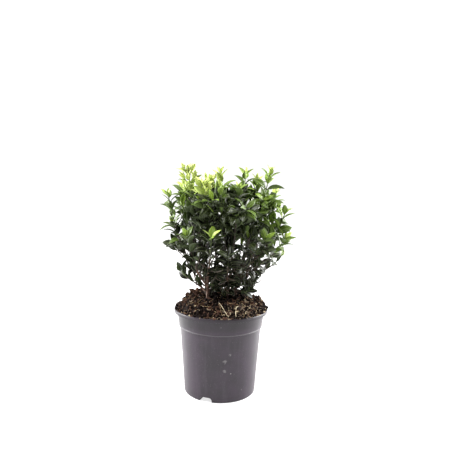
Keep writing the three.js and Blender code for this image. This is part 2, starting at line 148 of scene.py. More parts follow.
# Crumbs: seed, number, range of sizes, form, darkest colour, lightest colour
CRUMBS = {
    "crumbs_dark": (11, 1500, (0.8, 2.8), (1, 1, 0.8), (0.002, 0.0011, 0.0009), (0.012, 0.0065, 0.0047)),
    "crumbs_brown": (12, 900, (0.7, 2.4), (1.3, 0.75, 0.65), (0.024, 0.0125, 0.009), (0.092, 0.05, 0.034)),
    "crumbs_tan": (13, 2200, (0.5, 1.5), (1.9, 0.65, 0.5), (0.14, 0.098, 0.066), (0.34, 0.265, 0.19)),
    "crumbs_pale": (14, 560, (0.4, 1.4), (1.3, 0.8, 0.7), (0.4, 0.31, 0.19), (0.68, 0.57, 0.38)),
}
CRUMB_GRAIN = 420.0
CRUMB_LIFT = (-0.1, 0.7)
EDGE_PART = 8
SHAPE_SEED = 50
CHUNK_SHAPES = 8
CHUNK_ROUGHNESS = (0.62, 1.2)
CHUNK_SPREAD = (0.75, 1.25)

# A clump at the lip on the right, pale bits mostly at the front right, and mainly dark crumbs round the
# stems as painted shade under the crown
CLUMP_PLACE = np.array([52.0, -2.0])
CLUMP_SPREAD = np.array([4.0, 10.0])
CLUMP_RISE = 9.0
FRONT_BITS = ("crumbs_tan", "crumbs_pale")
FRONT_WAY = np.array([0.85, -0.53])
FRONT_POWER = 1.8
# Painted shade under the crown: round this spot the paler bits thin out and only the dark crumbs stay
SHADOW_KEPT_BITS = ("crumbs_dark",)
CROWN_SHADOW_PLACE = np.array([4.0, -14.0])
CROWN_SHADOW_RADII = (14.0, 36.0)
CROWN_SHADOW_SHARE = 0.12

# Bark chips, with larger loose ones at the back left
CHIP_SEEDS = (21, 22)
CHIP_COUNT = 250
CHIP_REACH = 52.0
CHIP_SIZES = (1.4, 3.2)
CHIP_LIFT = (0.0, 0.6)
CHIP_FORM = (1.9, 0.75, 0.22)
LOOSE_CHIPS = 26
LOOSE_ROOM = ((-46.0, -24.0), (6.0, 26.0), (0.5, 2.8))
LOOSE_SIZES = (2.6, 4.4)

# Fibres, and two straws: start, direction, length, bow, radius, lift
FIBRE_SEED = 31
FIBRE_COUNT = 170
FIBRE_REACH = 55.0
FIBRE_LENGTH = (6.0, 16.0)
FIBRE_BOW = (-0.5, 0.5)
FIBRE_RADIUS = (0.12, 0.28)
FIBRE_LIFT = (0.6, 2.0)
STRAWS = [
    ((-2.0, -42.0), -0.87, 18.4, -0.25, 0.3, 2.8),
    ((21.8, -42.0), -1.83, 11.4, -0.55, 0.45, 2.6),
]
STRAND_POINTS = 9
STRAND_SIDES = 5

# Stems and boughs
STEM_FLARE = 2.9
STEM_RADIUS = 1.9
STEM_TIP_RADIUS = 1.3
FLARE_SHARE = 0.25
STEM_SEAT = 1.2
STEM_ROOT = 2.0
BOUGH_RADIUS = 1.3
BOUGH_TIP_RADIUS = 1.1
BOUGH_LENGTH = 24.0
BOUGH_SHARE = 0.35
BOUGH_RISE = 0.9
FIRST_BOUGH = 11.0
BOUGH_STEP = 9.0
LEADER_CLEARANCE = 8.0
UPTURN = 0.6
CURVE_STEPS = 24
STEM_STEPS = 14
BOUGH_STEPS = 10

# Bark: the mesh of a limb, its ridges and the rings of its leaf scars
BARK_SHADES = ((0.03, 0.015, 0.011), (0.17, 0.098, 0.068))
STEM_MESH = {"rings": 64, "sides": 16, "ridges": 0.12, "root": 1.04}
BOUGH_MESH = {"rings": 40, "sides": 14, "ridges": 0.1, "root": 1.15}
RIDGE_TURN = 2.2
RIDGE_STEP = 0.22
RIDGE_NOISE = (0.9, 2.1, 4)
SCAR_STEP = 0.42
SCAR_POWER = 12
SCAR_LIFT = 0.07
STEM_SHIFT = 7.3
BOUGH_SHIFT = 2.1
FIRST_SHIFT = 1.4

# Leaves: each pair changes by its gain from a shoot's tip down
LEAF_LENGTH = 23.5
YOUNG_LENGTH = 0.46
LENGTH_GAIN = 0.125
LENGTH_SPREAD = 0.24
LOW_LENGTH = 0.66
LOW_FROM = 145.0
LOW_RISE = 60.0
LEAF_BREADTH = 0.42
BREADTH_SPREAD = 0.3
YOUNG_BREADTH = 0.76
BREADTH_GAIN = 0.08
FLUSH_BREADTH = 0.12
LEAF_THICKNESS = 0.018
STALK_THICKNESS = 0.25
LEAF_CURL = 0.2
CURL_GAIN = 0.17
FULL_CURL = 1.3
CURL_SPREAD = 0.5
CURL_RISE = 0.42
CURL_POWER = 1.2
CURL_STEPS = 40
LEAF_FOLD = 0.46
LEAF_FLATTENING = 0.25
LEAF_ROLL = 1.5
LEAF_OVERHANG = 8.0
YOUNG_ANGLE = 24.0
ANGLE_GAIN = 13.0
FLUSH_CLOSING = 0.6
FULL_ANGLE = 66.0
ANGLE_SPREAD = 18.0
DROOP_GAIN = 0.035
FULL_DROOP = 0.22
CLOSING = (1.0, 0.72, 0.48)
CLOSED_LENGTH = 0.75

# A leaf's rings along its length, the places round each ring (sideways, upper or lower side) and its outline
LEAF_SHARES = np.array([0.0, 0.06, 0.13, 0.24, 0.38, 0.53, 0.68, 0.82, 0.93])
LEAF_AROUND = np.array([(-1, 0), (-0.52, 1), (0, 1), (0.52, 1), (1, 0), (0.52, -1), (0, -1), (-0.52, -1)])
STALK_SHARE = 0.07
STALK_WIDTH = 0.07
BLADE_SKEW = 0.78
BLADE_POWER = 0.98
LEAF_MAP = "LeafUV"
BAKE_MAP = "OFBake"
LEAF_VARIANTS = 4
MAP_MARGIN = 0.05

# Gaps between leaf pairs, and how each pair is turned
TIP_SETBACK = 1.0
FIRST_GAP = 4.0
FLUSH_GAP = 1.0
GAP_GAIN = 1.4
INTERNODE = 9.6
GAP_SPREAD = 0.24
TURN_SPREAD = 0.3
LEAF_TURN_SPREAD = 0.4

# For a shoot, a twig and a side twig
BARE = (3.0, 6.0, 4.0)
FOOT_RADIUS = (1.1, 0.8, 0.65)
TIP_RADIUS = (0.6, 0.5, 0.45)
TWIG_AGE = (2.4, 3.0, 4.0)

# For the twigs on a shoot and the side twigs on those
TWIG_FROM = (5, 3)
TWIG_SHARE = (0.82, 0.45)
TWIG_LENGTH = (40.0, 22.0)

# For all twigs: their course, their mesh and their looks (colour, roughness)
TWIG_SHORTEST = 0.5
TWIG_ANGLE = 44.0
TWIG_CUTS = (1.0, 0.75, 0.55)
TWIG_ROOT_STEPS = 5
TWIG_DROP = 8.0
TWIG_SIDES = 7
TWIG_PIECE = 4.0
TWIG_PIECES = 4
BROWN_TWIG = ((0.04, 0.028, 0.017), 0.6)
GREEN_TWIG = ((0.06, 0.085, 0.024), 0.45)
GREEN_FROM = 0.6
GREEN_HEIGHT = 215.0

# Short twigs close under the tips of some shoots, and those all along the bare limbs
TUFTED = ("left_1", "left_3", "front_left_1", "back_left_1")
TUFT_PAIRS = (1, 2, 4)
TUFT_LENGTH = 14.0
TUFT_ANGLE = 28.0
TUFT_DROP = 5.0
LIMB_TWIG_STEP = 3.5
LIMB_TWIG_LENGTH = 30.0
LIMB_ROOT_STEPS = 10

# Keys that keep the random runs of leaves, twigs and limbs apart
CHOICE_KEY = 1
TWIG_KEY = 3
LIMB_TWIG_KEY = 5
LIMB_KEY = 99

# The crown's outline, the inner crown that side twigs keep to, and the room round each limb
CROWN_LOW = np.array([-81.0, -80.0, 0.0])
CROWN_HIGH = np.array([95.0, 80.0, 301.0])
SKIRT_CENTER = np.array([8.0, 0.0])
SKIRT_RADIUS = 30.0
SKIRT_HEIGHT = 118.0
SKIRT_RISE = 1.4
SKIRT_RAGGED = 14.0
SPRAY_HEIGHT = 165.0
SPRAY_HANG = 16.0
SPRAY_EASE = 30.0
TWIG_SKIRT = 13.0
TWIG_CENTER = np.array([7.0, 0.0])
TWIG_REACH = np.array([67.0, 64.0])
TWIG_TOP = 268.0
SHOOT_PIECES = 10
LIMB_ROOM = 1.0
SOIL_MARGIN = 3.5
LIP_MARGIN = 2.0
MINGLE = 4.0

# Old leaves that are shed, low down inside the crown
SHED_SHARE = 0.86
SHED_FROM = 5
SHED_BASE = 147.0
SHED_TOP = 224.0
SHED_DEPTH = 48.0
SHED_REACH = 76.0
SHED_EDGE = 22.0

# Each stem: the spot where it leaves the soil, then the leaf tips that its shoots reach, leader first,
# each with how strongly its young growth is flushed.
STEMS = [
    ("front_left", (-17, -19), [
        (-24, -36, 281, 0.85), (-12, -62, 219, 0.39), (-44, -42, 218, 0.36), (-55, -18, 170, 0.2)]),
    ("left", (-20, 4), [
        (-46, 6, 299, 1.0), (-72, -8, 266, 0.5), (-69, 20, 228, 0.4)]),
    ("back_left", (-6, 17), [
        (-17, 20, 285, 0.86), (-56, 40, 281, 0.9), (-10, 66, 243, 0.5)]),
    ("front", (8, -12), [
        (-4, -6, 296, 0.86), (19, -41, 277, 0.5), (56, -46, 216, 0.3), (8, -66, 196, 0.0),
        (39, -25, 144, 0.2)]),
    ("right", (19, 0), [
        (61, -6, 297, 0.68), (85, 2, 246, 0.5), (83, -26, 215, 0.4), (86, 16, 188, 0.35)]),
    ("back_right", (10, 18), [
        (31, 30, 296, 0.68), (46, 10, 288, 0.7), (72, 18, 270, 0.76), (52, 54, 248, 0.5)]),
]

# Leaf tones from the palest to the darkest: base colour, roughness, gloss. Young flushed leaves are yellow,
# lime or fresh; grown leaves are fresh, mid, dark or deep by their place in the crown, partly the darker
# green of older leaves and partly painted shade
LEAF_TONES = {
    "yellow": ((0.505, 0.58, 0.16), 0.42, 0.36),
    "lime": ((0.29, 0.375, 0.058), 0.38, 0.4),
    "fresh": ((0.14, 0.215, 0.02), 0.34, 0.18),
    "mid": ((0.05, 0.084, 0.008), 0.32, 0.15),
    "dark": ((0.0115, 0.0175, 0.003), 0.27, 0.27),
    "deep": ((0.0035, 0.0036, 0.0018), 0.3, 0.1),
}
# The pale green of the veins and midrib, also used for painted highlights on the leaf's edge and upper
# midrib
VEIN_AND_HIGHLIGHT_GREEN = (0.42, 0.5, 0.24)
VEIN_AND_HIGHLIGHT_SHARE = 0.25
UNDER_GREEN = (0.2, 0.27, 0.12)
UNDER_SHARE = 0.2
VEIN_PAIRS = 8.0
VEIN_SLANT = 1.7

# How a leaf's tone follows its youth, its height and its place in the crown: darker low down and deep
# inside, partly as painted shade
FLUSH_SPAN = (2.0, 7.0)
FLUSH_LIGHT = 1.2
FLUSH_JITTER = 0.12
FLUSH_STEPS = (("yellow", 0.56), ("lime", 0.38), ("fresh", 0.2))
TWIG_FLUSH = 0.8
TWIG_FLUSH_LOW = 240.0
TWIG_FLUSH_RISE = 40.0
TWIG_FLUSH_LEAST = 0.3
SHADE_STEPS = (("fresh", 0.86), ("mid", 0.66), ("dark", 0.5))
SHADE_RISE = 0.55
SHADE_BASE = 130.0
SHADE_HEIGHT = 170.0
SHADE_OUT = 0.45
SHADE_CENTER = -3.0
SHADE_DEPTH = 0.85
SHADE_REACH = 75.0
SHADE_JITTER = 0.16

# The range that nearly all of a cloudy noise lies in, and the bits of a random state
NOISE_SPAN = (0.3, 0.7)
MASK = 0xFFFFFFFF


# Random numbers, lines and frames

def seeded(*keys):
    """Repeatable random numbers from 0 to 1, one run of them for each set of keys."""
    state = 17
    for key in keys:
        state = (state * 31 + key) & MASK

    def draw():
        nonlocal state
        state = (state + 0x6D2B79F5) & MASK
        mixed = ((state ^ (state >> 15)) * (state | 1)) & MASK
        mixed ^= (mixed + (((mixed ^ (mixed >> 7)) * (mixed | 61)) & MASK)) & MASK
        return ((mixed ^ (mixed >> 14)) & MASK) / (MASK + 1)

    return draw


def about(draw, spread):
    """A random number, spread evenly round zero."""
    return spread * (draw() - 0.5)


def held(value):
    """A value held between 0 and 1."""
    return min(1.0, max(0.0, value))


def taper(foot, tip, share):
    return foot + (tip - foot) * share


def unit(vector):
    return vector / np.linalg.norm(vector)


def bend(start, leaving, end, arriving):
    """A smooth line from one point to another that leaves and arrives in the given directions."""
    pull = np.linalg.norm(end - start) / 3
    t = np.linspace(0, 1, CURVE_STEPS + 1)[:, None]
    near, far = start + leaving * pull, end - arriving * pull
    return (1 - t) ** 3 * start + 3 * (1 - t) ** 2 * t * near + 3 * (1 - t) * t**2 * far + t**3 * end


def lengths(axis):
    """The distance along a line to each of its points."""
    steps = np.linalg.norm(np.diff(axis, axis=0), axis=1)
    return np.concatenate([[0.0], np.cumsum(steps)])


def walk(axis, distance):
    """The point at a distance along a line, and the direction there."""
    along = lengths(axis)
    i = int(np.clip(np.searchsorted(along, distance), 1, len(axis) - 1))
    ahead = unit(axis[i] - axis[i - 1])
    return axis[i - 1] + ahead * (distance - along[i - 1]), ahead


def stretch(axis, start, end, steps):
    """A stretch of a line, cut into even steps."""
    return np.array([walk(axis, d)[0] for d in np.linspace(start, end, steps + 1)])


def recut(axis, steps):
    """A whole line, cut into even steps."""
    return stretch(axis, 0, lengths(axis)[-1], steps)


def across(ahead):
    """Two directions square to a line and to each other."""
    guide = np.array([0.0, 1.0, 0.0]) if abs(ahead[2]) > math.sqrt(0.5) else UP
    first = unit(np.cross(guide, ahead))
    return first, np.cross(ahead, first)


def sideways(ahead, turn):
    """A direction square to a line, turned round it."""
    first, second = across(ahead)
    return first * math.cos(turn) + second * math.sin(turn)


# Meshes

def placed(name, data):
    """A new object in the scene."""
    made = bpy.data.objects.new(name, data)
    bpy.context.scene.collection.objects.link(made)
    return made


def link_piece(name, mesh, material, nodes=()):
    """A piece of the plant or pot, moving with the one body and standing for the given solids."""
    mesh.materials.append(material)
    piece = placed(name, mesh)
    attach(piece, BODY)
    if nodes:
        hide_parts(*nodes)


def mesh_from(name, points, faces, smooth=True):
    """A mesh from points in millimetres."""
    mesh = bpy.data.meshes.new(name)
    mesh.from_pydata((np.asarray(points) * MM).tolist(), [], faces)
    mesh.polygons.foreach_set("use_smooth", [smooth] * len(mesh.polygons))
    mesh.update()
    return mesh


def grid_faces(rows, columns):
    """Quads between rows of points that each close on themselves."""
    faces = []
    for a in range(0, (rows - 1) * columns, columns):
        b = a + columns
        for j in range(columns):
            k = (j + 1) % columns
            faces.append((a + j, a + k, b + k, b + j))
    return faces


def rod_faces(rings, sides):
    """Quads between rings of points, and a face on each end."""
    ends = [tuple(range(sides - 1, -1, -1)), tuple(range((rings - 1) * sides, rings * sides))]
    return grid_faces(rings, sides) + ends


class Heap:
    """Points and faces gathered from many small shapes, for one joined mesh."""

    def __init__(self):
        self.points = []
        self.faces = []
        self.count = 0

    def add(self, points, faces):
        self.points.append(points)
        self.faces.extend(tuple(i + self.count for i in face) for face in faces)
        self.count += len(points)

    def mesh(self, name, smooth=True):
        return mesh_from(name, np.concatenate(self.points), self.faces, smooth)


def tube(axis, radii, sides, relief=None):
    """A closed rod along a line. relief(ring, angle) gives each point's share of the radius."""
    rings = len(axis)
    first, _ = across(unit(axis[-1] - axis[0]))
    angles = 2 * math.pi * np.arange(sides) / sides
    points = []
    for i in range(rings):
        ahead = unit(axis[min(rings - 1, i + 1)] - axis[max(0, i - 1)])
        right = unit(first - ahead * np.dot(first, ahead))
        front = np.cross(ahead, right)
        share = np.ones(sides) if relief is None else np.array([relief(i, a) for a in angles])
        ring = np.cos(angles)[:, None] * right + np.sin(angles)[:, None] * front
        points.append(axis[i] + ring * (radii[i] * share)[:, None])
    return np.concatenate(points), rod_faces(rings, sides)


def lathe(profile, sides, height=None):
    """A turned body from [radius, height] points that start and end on the axis."""
    angles = 2 * math.pi * np.arange(sides) / sides
    rows = []
    for radius, z in profile[1:-1]:
        row = np.stack([radius * np.cos(angles), radius * np.sin(angles), np.full(sides, z)], 1)
        rows.append(row)
    points = np.concatenate([*rows, [[0, 0, profile[0][1]], [0, 0, profile[-1][1]]]])
    faces = grid_faces(len(rows), sides)
    foot, top = len(points) - 2, len(points) - 1
    last = (len(rows) - 1) * sides
    for j in range(sides):
        k = (j + 1) % sides
        faces.append((foot, k, j))
        faces.append((top, last + j, last + k))
    if height is not None:
        points[:, 2] = [height(*point) for point in points]
    return points, faces


def rounded(corners):
    """A profile from [radius, height, fillet] corners, each eased over its fillet's length."""
    line = []
    for i, (radius, height, fillet) in enumerate(corners):
        here = np.array([radius, height], float)
        if fillet == 0:
            line.append(here)
            continue
        before = np.array(corners[i - 1][:2], float) - here
        after = np.array(corners[i + 1][:2], float) - here
        start, end = here + unit(before) * fillet, here + unit(after) * fillet
        for t in np.linspace(0, 1, FILLET_STEPS + 1):
            line.append((1 - t) ** 2 * start + 2 * t * (1 - t) * here + t**2 * end)
    return line


# Materials

def toned(color, gain):
    return tuple(min(1.0, gain * c) for c in color)


def blended(color, other, share):
    return tuple((1 - share) * c + share * o for c, o in zip(color, other))


class Shader:
    """A tree of shader nodes."""

    def __init__(self, tree):
        self.tree = tree

    def node(self, kind, inputs=(), **settings):
        """A node with its settings and its inputs, each of them a link or a plain value."""
        made = self.tree.nodes.new("ShaderNode" + kind)
        for key, value in settings.items():
            setattr(made, key, value)
        for socket, value in inputs:
            self.feed(made.inputs[socket], value)
        return made

    def feed(self, socket, value):
        if isinstance(value, bpy.types.NodeSocket):
            self.tree.links.new(value, socket)
        else:
            socket.default_value = value

    def math(self, operation, first, second=0.0):
        return self.node("Math", [(0, first), (1, second)], operation=operation).outputs[0]

    def away(self, value, middle):
        """How far a value is from a middle value."""
        return self.math("ABSOLUTE", self.math("SUBTRACT", value, middle))

    def span(self, value, low, high, to_low=0.0, to_high=1.0):
        """A value eased from one range into another."""
        inputs = enumerate((value, low, high, to_low, to_high))
        return self.node("MapRange", inputs, interpolation_type="SMOOTHSTEP").outputs[0]

    def mix(self, share, first, second):
        return self.node("Mix", [(0, share), (6, first), (7, second)], data_type="RGBA").outputs[2]

    def place(self):
        return self.node("TexCoord").outputs["Object"]

    def noise(self, scale, detail=3.0, roughness=0.55, vector=None, upright=None):
        """Cloudy noise, drawn out along the height where upright is below 1."""
        vector = self.place() if vector is None else vector
        if upright is not None:
            vector = self.node("Mapping", [("Vector", vector), ("Scale", (1.0, 1.0, upright))]).outputs[0]
        values = [("Vector", vector), ("Scale", scale), ("Detail", detail), ("Roughness", roughness)]
        return self.node("TexNoise", values).outputs[0]

    def cells(self, scale):
        """The distance from the nearest of many scattered points."""
        return self.node("TexVoronoi", [("Vector", self.place()), ("Scale", scale)]).outputs["Distance"]


class Surface(Shader):
    """The look of one surface, its colour laid on coat by coat."""

    def __init__(self, name, color, gloss):
        self.material = bpy.data.materials.new(name)
        self.material.use_nodes = True
        super().__init__(self.material.node_tree)
        self.out = self.tree.nodes["Principled BSDF"]
        self.out.inputs["Specular IOR Level"].default_value = gloss
        self.start(color)

    def start(self, color):
        self.shade = (*color, 1.0)

    def coat(self, share, color):
        """Lays a colour over the shade, as thick as the share says."""
        self.shade = self.mix(share, self.shade, (*color, 1.0))

    def done(self, roughness, relief=None, depth=0.0, strength=0.0):
        """The material with its shade, its roughness and its fine relief."""
        self.feed(self.out.inputs["Base Color"], self.shade)
        self.feed(self.out.inputs["Roughness"], roughness)
        if relief is not None:
            made = self.node("Bump", [("Height", relief), ("Distance", depth), ("Strength", strength)])
            self.feed(self.out.inputs["Normal"], made.outputs[0])
        return self.material


def wall_radius(z):
    """About the pot's outer radius at a height."""
    if z > RING_HEIGHT:
        return BAND_FOOT_RADIUS
    return taper(BODY_FOOT_RADIUS, BODY_TOP_RADIUS, z / RING_HEIGHT)


def plastic_material():
    """Satin plastic: mottle, pale upright streaks that are a painted reflection, dust, specks, painted shade
    darkening the band under the lip, a painted highlight along the ring and a few scuffs.
    """
    dark, light = PLASTIC_SHADES
    skin = Surface("pot_plastic", dark, gloss=0.35)
    mottle = skin.noise(45.0, 4.0)
    streaks = skin.noise(160.0, upright=0.06)
    skin.coat(skin.span(mottle, *NOISE_SPAN), light)
    # Painted reflection: pale upright streaks
    skin.coat(skin.span(streaks, 0.45, 0.75, 0.0, 0.35), STREAK_REFLECTION_COLOR)
    skin.coat(skin.span(skin.noise(900.0, 2.0), 0.62, 0.75, 0.0, 0.25), DUST_COLOR)
    specks = skin.span(skin.cells(120.0), 0.1, 0.04)
    sparse = skin.span(skin.noise(28.0, 1.0), 0.6, 0.68)
    skin.coat(skin.math("MULTIPLY", specks, sparse), SPECK_COLOR)
    place = skin.place()
    height = skin.node("SeparateXYZ", [(0, place)]).outputs[2]
    # Painted shade: the band between the ring and the lip is darkened, in a mottle
    above_ring = skin.span(height, *((RING_HEIGHT + rise) * MM for rise in LIP_SHADE_RISE))
    lip_shade = skin.span(mottle, 0.25, 0.6, 0.85, 0.5)
    skin.coat(skin.math("MULTIPLY", lip_shade, above_ring), LIP_SHADE_COLOR)
    # Painted highlight: a pale line along the ring's bead
    off_ring = skin.away(height, (RING_HEIGHT + RING_LINE) * MM)
    skin.coat(skin.span(off_ring, *(fade * MM for fade in RING_FADE), 0.0, 0.6), RING_HIGHLIGHT_COLOR)
    ragged = skin.span(skin.noise(420.0), *NOISE_SPAN, -SCUFF_RAGGED * MM, SCUFF_RAGGED * MM)
    for x, z, size in SCUFFS:
        spot = Vector((x, -math.sqrt(wall_radius(z) ** 2 - x**2), z)) * MM
        gap = skin.node("VectorMath", [(0, place), (1, spot)], operation="DISTANCE").outputs["Value"]
        gap = skin.math("ADD", gap, ragged)
        skin.coat(skin.span(gap, size * MM, SCUFF_CORE * size * MM, 0.0, 0.8), SCUFF_COLOR)
    roughness = skin.span(streaks, 0.25, 0.8, 0.32, 0.43)
    return skin.done(roughness, skin.noise(700.0), depth=0.00012, strength=0.5)


def bark_material(name, dark, light):
    """Thin brown bark with long fissures and pale breathing pores."""
    skin = Surface(name, dark, gloss=0.3)
    fissures = skin.noise(420.0, 4.0, upright=0.18)
    skin.coat(skin.span(fissures, *NOISE_SPAN), light)
    skin.coat(skin.span(skin.noise(90.0), 0.45, 0.7, 0.0, 0.6), toned(dark, 0.7))
    skin.coat(skin.span(skin.cells(520.0), 0.14, 0.06, 0.0, 0.7), toned(light, 1.6))
    return skin.done(skin.span(fissures, 0.2, 0.8, 0.85, 0.6), fissures, depth=0.0004, strength=0.7)


def twig_material(name, color, roughness):
    """Smooth young bark with a faint streak."""
    skin = Surface(name, toned(color, 0.75), gloss=0.4)
    streak = skin.noise(500.0, upright=0.15)
    skin.coat(skin.span(streak, *NOISE_SPAN), toned(color, 1.25))
    rough = skin.span(streak, 0.2, 0.8, roughness + 0.08, roughness - 0.06)
    return skin.done(rough, streak, depth=0.0002, strength=0.4)


def soil_material(name, dark, light, scale):
    """Crumbly peat or bark with a fine grain."""
    skin = Surface(name, dark, gloss=0.08)
    grain = skin.noise(scale * 4.5, 3.0, 0.6)
    skin.coat(skin.span(skin.noise(scale, 5.0, 0.65), 0.32, 0.68), light)
    skin.coat(skin.span(grain, 0.5, 0.75, 0.0, 0.55), toned(light, 1.5))
    return skin.done(skin.span(grain, 0.2, 0.8, 0.95, 0.75), grain, depth=0.0006, strength=0.8)


def leaf_material(name, color, roughness, gloss):
    """A glossy leaf: pale midrib, brightened above as a painted highlight, faint side veins, a pale edge
    that is a painted highlight and mottle above, paler and duller below.
    """
    pale = blended(color, VEIN_AND_HIGHLIGHT_GREEN, VEIN_AND_HIGHLIGHT_SHARE)
    under = blended(color, UNDER_GREEN, UNDER_SHARE)
    skin = Surface(name, toned(under, 0.9), gloss)
    place = skin.node("UVMap", uv_map=LEAF_MAP).outputs[0]
    u, v, _ = skin.node("SeparateXYZ", [(0, place)]).outputs
    column = skin.math("FRACT", skin.math("MULTIPLY", u, LEAF_VARIANTS))
    out = skin.math("DIVIDE", skin.away(column, 0.5), 0.5 - MAP_MARGIN)
    length = skin.math("FRACT", skin.math("MULTIPLY", v, 2.0))
    rib = skin.math("MULTIPLY", skin.span(out, 0.2, 0.04), skin.span(length, 0.98, 0.3, 0.2, 0.6))
    slant = skin.math("MULTIPLY", out, VEIN_SLANT)
    wave = skin.math("SUBTRACT", skin.math("MULTIPLY", length, VEIN_PAIRS), slant)
    veins = skin.span(skin.away(skin.math("FRACT", wave), 0.5), 0.1, 0.0, 0.0, 0.22)
    mottle = skin.noise(26.0, vector=place)
    cloudy = skin.span(mottle, *NOISE_SPAN)
    skin.coat(cloudy, toned(under, 1.15))
    skin.coat(rib, pale)
    below = skin.shade
    skin.start(toned(color, 0.8))
    skin.coat(cloudy, toned(color, 1.22))
    skin.coat(veins, pale)
    # Painted highlight: a pale edge on the upper side, and the midrib brightened above
    skin.coat(skin.span(out, 0.8, 0.97, 0.0, 0.6), pale)
    skin.coat(rib, toned(pale, 1.1))
    is_top = skin.math("GREATER_THAN", v, 0.5)
    skin.shade = skin.mix(is_top, below, skin.shade)
    sheen = skin.span(mottle, 0.2, 0.8, roughness - 0.05, roughness + 0.09)
    dull = skin.math("MULTIPLY", skin.math("SUBTRACT", 1.0, is_top), 0.24)
    ridges = skin.math("ADD", veins, rib)
    return skin.done(skin.math("ADD", sheen, dull), ridges, depth=0.0003, strength=0.5)


# Camera, light and floor

def set_camera():
    data = bpy.data.cameras.new("camera")
    data.lens = CAMERA_LENS
    data.sensor_width = CAMERA_SENSOR
    data.clip_start = CAMERA_NEAR
    camera = placed("camera", data)
    tilt = Matrix.Rotation(math.radians(90 - CAMERA_PITCH), 4, "X")
    roll = Matrix.Rotation(math.radians(CAMERA_ROLL), 4, "Z")
    camera.matrix_world = Matrix.Translation(Vector(CAMERA_PLACE) * MM) @ tilt @ roll
    bpy.context.scene.camera = camera


def set_light():
    scene = bpy.context.scene
    scene.view_settings.view_transform = "Standard"
    scene.world = bpy.data.worlds.new("tent")
    scene.world.use_nodes = True
    tent = Shader(scene.world.node_tree)
    sky = tent.tree.nodes["Background"]
    sky.inputs["Color"].default_value = WHITE
    way = tent.node("SeparateXYZ", [(0, tent.node("TexCoord").outputs["Generated"])])
    level = tent.span(way.outputs[1], *TENT_TURN, TENT_FRONT, TENT_BACK)
    level = tent.math("ADD", level, tent.span(way.outputs[2], *TENT_RISE, 0.0, TENT_TOP))
    tent.feed(sky.inputs["Strength"], level)
    for box in SOFT_BOXES:
        data = bpy.data.lights.new(box["name"], "AREA")
        data.shape = "SQUARE"
        data.size = box["size"]
        data.energy = box["power"]
        lamp = placed(box["name"], data)
        lamp.location = box["place"]
        towards = Vector(AIM) - Vector(box["place"])
        lamp.rotation_euler = towards.to_track_quat("-Z", "Y").to_euler()


def set_floor():
    half = FLOOR_SIZE / 2
    mesh = bpy.data.meshes.new("floor")
    corners = [(-half, -half, 0), (half, -half, 0), (half, half, 0), (-half, half, 0)]
    mesh.from_pydata(corners, [], [(0, 1, 2, 3)])
    dark, light = FLOOR_SHADES
    skin = Surface("floor_paper", dark, gloss=0.1)
    skin.out.inputs["Emission Color"].default_value = WHITE
    skin.out.inputs["Emission Strength"].default_value = TABLE_GLOW
    grain = skin.noise(30.0)
    skin.coat(skin.span(grain, *NOISE_SPAN), light)
    mesh.materials.append(skin.done(skin.span(grain, *NOISE_SPAN, 0.9, 0.98)))
    floor = placed("floor", mesh)


# Pot

def pot_profile():
    """The pot's wall from the middle of its underside, up the outside and down the inside."""
    return rounded([
        (0, 0, 0),
        (BASE_RADIUS - BASE_CORNER, 0, 0.5),
        (BASE_RADIUS, BASE_CORNER, 0.5),
        (BODY_FOOT_RADIUS, BEVEL_HEIGHT, 0.4),
        (BODY_TOP_RADIUS, RING_HEIGHT - RING_STEP, 0.3),
        (BAND_FOOT_RADIUS + RING_BEAD, RING_HEIGHT - RING_LOW, 0.4),
        (BAND_FOOT_RADIUS + RING_BEAD, RING_HEIGHT + RING_HIGH, 0.4),
        (BAND_FOOT_RADIUS + BAND_FLARE, RING_HEIGHT + RING_END, 0.3),
        (BAND_TOP_RADIUS, POT_HEIGHT - LIP_THICKNESS, 0.8),
        (LIP_RADIUS - LIP_EDGE, POT_HEIGHT - LIP_THICKNESS, 0.3),
        (LIP_RADIUS - LIP_EDGE, POT_HEIGHT - LIP_SKIRT, 0.2),
        (LIP_RADIUS, POT_HEIGHT - LIP_SKIRT, 0.2),
        (LIP_RADIUS, POT_HEIGHT, LIP_EDGE),
        (BAND_TOP_RADIUS - WALL + LIP_EDGE, POT_HEIGHT, 0.5),
        (BAND_TOP_RADIUS - WALL, POT_HEIGHT - LIP_EDGE, 0.4),
        (BAND_FOOT_RADIUS - WALL, RING_HEIGHT, 0),
        (BODY_TOP_RADIUS - WALL, RING_HEIGHT - RING_STEP, 0),
        (BODY_FOOT_RADIUS - WALL, BEVEL_HEIGHT, 0),
        (BASE_RADIUS - WALL, WALL, 0),
        (0, WALL, 0),
    ])


def turned_about(points, degrees):
    c, s = math.cos(math.radians(degrees)), math.sin(math.radians(degrees))
    return points @ np.array([[c, s, 0], [-s, c, 0], [0, 0, 1]])


def tunnel(grow, turn):
    """A round-topped tunnel under the pot's edge, as points and faces."""
    half, height = NOTCH_WIDTH / 2 + grow, NOTCH_HEIGHT + grow
    ground = WALL / 2 if grow else -WALL
    curve = NOTCH_HEIGHT * NOTCH_ROUND
    arc = np.linspace(0, math.pi / 2, NOTCH_ARC)
    right = [(half - curve + curve * math.cos(a), height - curve + curve * math.sin(a)) for a in arc]
    outline = [(-half, ground), (half, ground), *right, *[(-y, z) for y, z in reversed(right)]]
    inner, outer = BASE_RADIUS - NOTCH_DEPTH - grow, BASE_RADIUS + NOTCH_OVERSHOOT
    points = np.array([(x, y, z) for x in (inner, outer) for y, z in outline])
    faces = [tuple(reversed(face)) for face in rod_faces(2, len(outline))]
    return turned_about(points, turn), faces


def drain(turn):
    """A round hole through the roof of a notch, as points and faces."""
    axis = np.array([[BASE_RADIUS - NOTCH_DEPTH / 2, 0, z] for z in (-NOTCH_HEIGHT, 2 * NOTCH_HEIGHT)])
    points, faces = tube(axis, [DRAIN_RADIUS] * 2, DRAIN_SIDES)
    return turned_about(points, turn), faces


